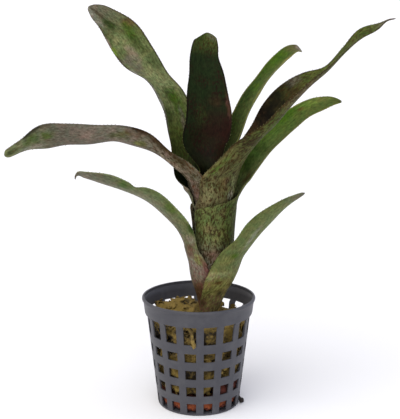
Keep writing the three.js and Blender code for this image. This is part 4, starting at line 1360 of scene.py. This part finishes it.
def shred_tree():
    """Scatters shreds flat on a surface, each of a random kind, turn, size and shade."""
    tree, given = new_tree("scattered_shreds", Shreds="Collection", Density="Float", Smallest="Float",
                           Largest="Float", Lean="Float", Seed="Int")
    scattered = add_node(tree, "GeometryNodeDistributePointsOnFaces", {
        "Mesh": given["Mesh"], "Density": given["Density"], "Seed": given["Seed"]})
    kinds = add_node(tree, "GeometryNodeCollectionInfo", {
        "Collection": given["Shreds"], "Separate Children": True, "Reset Children": True})
    lean = add_node(tree, "ShaderNodeMath", {0: given["Lean"], 1: -1.0}, operation="MULTIPLY")
    low = add_node(tree, "ShaderNodeCombineXYZ", {"X": lean, "Y": lean, "Z": -3.14})
    high = add_node(tree, "ShaderNodeCombineXYZ", {"X": given["Lean"], "Y": given["Lean"], "Z": 3.14})
    spin = add_node(tree, "FunctionNodeRandomValue", {
        0: low, 1: high, "Seed": given["Seed"]}, data_type="FLOAT_VECTOR")
    spun = add_node(tree, "FunctionNodeEulerToRotation", {"Euler": spin})
    turned = add_node(tree, "FunctionNodeRotateRotation", {
        "Rotation": scattered.outputs["Rotation"], "Rotate By": spun}, rotation_space="LOCAL")
    size = add_node(tree, "FunctionNodeRandomValue", {
        2: given["Smallest"], 3: given["Largest"], "Seed": given["Seed"]})
    pick = add_node(tree, "FunctionNodeRandomValue", {4: 0, 5: 3, "Seed": given["Seed"]}, data_type="INT")
    stood = add_node(tree, "GeometryNodeInstanceOnPoints", {
        "Points": scattered, "Instance": kinds, "Pick Instance": True, "Instance Index": pick,
        "Rotation": turned, "Scale": size})
    shade = add_node(tree, "FunctionNodeRandomValue", {2: 0.0, 3: 1.0, "Seed": given["Seed"]})
    kept = add_node(tree, "GeometryNodeStoreNamedAttribute", {
        "Geometry": stood, "Name": "shade", "Value": shade}, data_type="FLOAT", domain="INSTANCE")
    real = add_node(tree, "GeometryNodeRealizeInstances", {"Geometry": kept})
    return close_tree(tree, given, real)


shred_kinds = bpy.data.collections.new("shred_kinds")
for kind in range(len(SHRED_HALF_WIDTHS)):
    strip = shred(kind)
    shred_kinds.objects.link(strip)
    bpy.context.collection.objects.unlink(strip)

# %% [markdown]
# Dried fibre is painted nearly black in a fold and pale gold on a crest, and the dark of the folds is
# painted shade. A picture of fibre would stretch over the folds, so one ramp of three colours does it
# instead. What places a point on the ramp is a shade kept on the mesh, which on the core is the height
# of the fold, as painted shade, and on a shred its own, with the wad's painted light and shade added
# to both, and stains of two sizes: patches of about 8 mm and flecks of about 2 mm. A fine grain of less
# than 1 mm roughens it.
# After the tree has run, the shreds that would poke through the pot are pressed flat against it.

# %% Dried fibre and the finished wad
INSIDE_GAP = 0.15
OPEN_REACH = 22.6
OPEN_FROM = 41
RIGHT_FROM = 4
LEFT_FROM = -6
RIM_FROM = 33


def dried_fibre(name, dark, middle, light):
    """Dried leaf and bark fibre: matt, golden brown, with painted shade in its folds and a fine wavy grain.
    """
    material, tree, shader = new_material(name)
    place = add_node(tree, "ShaderNodeTexCoord")
    shade = add_node(tree, "ShaderNodeAttribute", attribute_name="shade")
    stains = add_node(tree, "ShaderNodeTexNoise", {
        "Vector": place.outputs["Object"], "Scale": 600.0, "Detail": 5.0, "Roughness": 0.75})
    strong = add_node(tree, "ShaderNodeMapRange", {
        "Value": stains, "From Min": 0.3, "From Max": 0.7, "To Min": 0.05, "To Max": 0.95})
    folds = add_node(tree, "ShaderNodeTexNoise", {
        "Vector": place.outputs["Object"], "Scale": 130.0, "Detail": 2.0, "Distortion": 0.6})
    patches = add_node(tree, "ShaderNodeMapRange", {
        "Value": folds, "From Min": 0.35, "From Max": 0.62, "To Min": -0.45, "To Max": 0.2})
    stained = add_node(tree, "ShaderNodeMath", {0: strong, 1: patches}, operation="ADD")
    mixed = add_node(tree, "ShaderNodeMath", {
        0: shade.outputs["Fac"], 1: 0.45, 2: stained}, operation="MULTIPLY_ADD")
    ramp = add_node(tree, "ShaderNodeValToRGB", {"Fac": mixed})
    stops = ramp.color_ramp.elements
    stops[0].position, stops[0].color = 0.25, linear(dark)
    stops[1].position, stops[1].color = 0.9, linear(light)
    between = stops.new(0.55)
    between.color = linear(middle)
    grain = add_node(tree, "ShaderNodeTexNoise", {
        "Vector": place.outputs["Object"], "Scale": 1500.0, "Detail": 3.0, "Distortion": 1.0})
    bump = add_node(tree, "ShaderNodeBump", {"Height": grain, "Distance": 0.0002, "Strength": 0.7})
    set_inputs(tree, shader, {"Base Color": ramp, "Normal": bump, "Roughness": 0.88})
    return material


def kept_inside(piece):
    """Presses what would poke through the pot's wall flat against the inside of it."""
    for vertex in piece.data.vertices:
        x, y, z = vertex.co / MM
        reach = math.hypot(x, y)
        limit = wall_radius(z) - WALL - INSIDE_GAP
        if reach > limit:
            vertex.co.x *= limit / reach
            vertex.co.y *= limit / reach


def painted_light_and_shade(point):
    """Painted light and shade on the wad: paler on its open top and on the right, darker on the left and high
    on its side.
    """
    x, y, z = point / MM
    on_top = smoothstep((OPEN_REACH - math.hypot(x, y)) / 1.5) * smoothstep((z - OPEN_FROM) / 2)
    on_left, near_rim = smoothstep((LEFT_FROM - x) / 8), smoothstep((z - RIM_FROM) / 4)
    on_side = smoothstep((x - RIGHT_FROM) / 14) - 0.2 * on_left - 0.25 * near_rim
    return 0.7 * on_top + (1 - on_top) * on_side


layer = new_piece("medium_shreds", [v.co / MM for v in core.data.vertices],
                  [tuple(p.vertices) for p in core.data.polygons])
shred_fibre = dried_fibre("dried_leaf_shreds", "#211708", "#5c4b20", "#846e34")
grown(layer, shred_tree(), Shreds=shred_kinds, Density=SHREDS_PER_SQUARE_METRE, Smallest=SMALLEST_SHRED,
      Largest=LARGEST_SHRED, Lean=SHRED_LEAN, Seed=11, Material=shred_fibre)
kept_inside(layer)
# Each shred's own shade gets the wad's painted light and shade added.
for own_shade, vertex in zip(layer.data.attributes["shade"].data, layer.data.vertices):
    own_shade.value += painted_light_and_shade(vertex.co)
# On the core the shade is painted shade, low down in each fold, plus the wad's painted light and shade.
point_values(core, "shade", [1 - crumple(v.co / MM) + painted_light_and_shade(v.co) for v in core.data.vertices])
core.data.materials.append(dried_fibre("matted_fibre", "#1c1407", "#52431b", "#7c672c"))
finished(core, "fibre", "growing_medium")
finished(layer, "fibre")

# %% [markdown]
# ## Stem and root
# The stem is the short core that every sheath grows from, hidden in the tube. One root runs down
# through the wad and its dark tip pokes out of a low window. It follows a path, so a tree sweeps a
# circle along the path, which is easier to bend than a long cylinder, and a noise makes it knobbly.
# The cracks in its bark are about 1 mm apart.

# %% Stem and root
STEM = [(29, 1.8), (31, 2.8), (43.6, 2.8), (46, 1.2), (64, 1.2), (65.5, 0.6)]
ROOT_PATH = [
    (5.5, 0, 33), (9.5, -0.8, 28.5), (12.6, -1.6, 22), (15.4, -2.3, 14), (17.2, -2.9, 7), (18.6, -3.3, 4.2),
    (19.9, -3.7, 2.7), (21.15, -3.95, 1.45),
]
ROOT_RADIUS = 1.0
ROOT_DENTS = 0.3
DENTS_PER_METRE = 700.0
ROOT_KNOB = 1.35


def sweep_tree():
    """Sweeps a circle along a softened path, closes its ends and dents it."""
    tree, given = new_tree("swept_root", Radius="Float", Knobs="Float")
    line = add_node(tree, "GeometryNodeMeshToCurve", {"Mesh": given["Mesh"]})
    soft = add_node(tree, "GeometryNodeCurveSplineType", {"Curve": line}, spline_type="CATMULL_ROM")
    steps = add_node(tree, "GeometryNodeResampleCurve", {"Curve": soft, "Count": 90})
    circle = add_node(tree, "GeometryNodeCurvePrimitiveCircle", {
        "Resolution": 16, "Radius": given["Radius"]})
    swept = add_node(tree, "GeometryNodeCurveToMesh", {
        "Curve": steps, "Profile Curve": circle, "Fill Caps": True})
    return close_tree(tree, given, dented(tree, swept, given["Knobs"], DENTS_PER_METRE, 2.0))


def knob_at_tip():
    """The dark lump at the root's end, a ball with dents."""
    ball = bmesh.new()
    bmesh.ops.create_icosphere(ball, subdivisions=4, radius=ROOT_KNOB)
    points = [v.co * (1 - 0.25 * abs(noise.noise(v.co * 1.1))) + Vector(ROOT_PATH[-1]) for v in ball.verts]
    faces = [[v.index for v in face.verts] for face in ball.faces]
    ball.free()
    return new_piece("root_knob", points, faces)


def root_bark():
    """Root bark: nearly black brown, matt, and broken up by fine cracks."""
    material, tree, shader = new_material("root_bark")
    place = add_node(tree, "ShaderNodeTexCoord")
    cracks = add_node(tree, "ShaderNodeTexNoise", {
        "Vector": place.outputs["Object"], "Scale": 900.0, "Detail": 4.0, "Roughness": 0.7})
    tone = add_node(tree, "ShaderNodeMix", {
        0: cracks, 6: linear("#0c0908"), 7: linear("#2a2019")}, data_type="RGBA")
    bump = add_node(tree, "ShaderNodeBump", {"Height": cracks, "Distance": 0.0003, "Strength": 0.8})
    set_inputs(tree, shader, {"Base Color": tone, "Normal": bump, "Roughness": 0.9})
    return material


def stem_core(material):
    """The stem as rings round its leaning middle line."""
    sides = 32
    points = [p for z, radius in STEM for p in circle_points(radius, z, sides, tube_x(max(z, TUBE[0][0])))]
    last = len(points) - sides
    around = [(i, (i + 1) % sides) for i in range(sides)]
    faces = [(k + i, k + j, k + sides + j, k + sides + i) for k in range(0, last, sides) for i, j in around]
    faces += [tuple(reversed(range(sides))), tuple(range(last, len(points)))]
    return new_piece("stem_core", points, faces, material=material)


bark = root_bark()
root_line = new_piece("root_line", ROOT_PATH, edges=path_edges(ROOT_PATH))
grown(root_line, sweep_tree(), Radius=ROOT_RADIUS * MM, Knobs=-ROOT_DENTS * MM, Material=bark)
stem_piece, knob = stem_core(bark), knob_at_tip()
for piece in (root_line, stem_piece, knob):
    tidied(piece)
stem_and_root = joined("stem_with_root", [stem_piece, root_line, knob])
finished(stem_and_root, "root_bark", "stem_and_root")

# %% [markdown]
# One strand of the wad hangs out over the lower edge of a high window in front. It is swept along a
# path as the root is, and it starts inside the wad, so that it hangs from something.

# %% A loose strand
STRAND_PATH = [
    (-6.0, -18.6, 41.8), (-5.4, -20.4, 43.7), (-3.9, -22.2, 43.9), (-3.2, -23.1, 41.9), (-2.9, -23.7, 39.8),
    (-2.6, -24.6, 38.3), (-2.0, -24.9, 37.4), (-2.2, -24.8, 36.6), (-2.7, -24.6, 36.3),
]
STRAND_RADIUS = 1.25
STRAND_DENTS = 0.8
STRAND_SHADE = 0.35

strand = new_piece("loose_strand", STRAND_PATH, edges=path_edges(STRAND_PATH))
grown(strand, sweep_tree(), Radius=STRAND_RADIUS * MM, Knobs=-STRAND_DENTS * MM, Material=shred_fibre)
tidied(strand)
point_values(strand, "shade", np.full(len(strand.data.vertices), STRAND_SHADE))
finished(strand, "fibre")
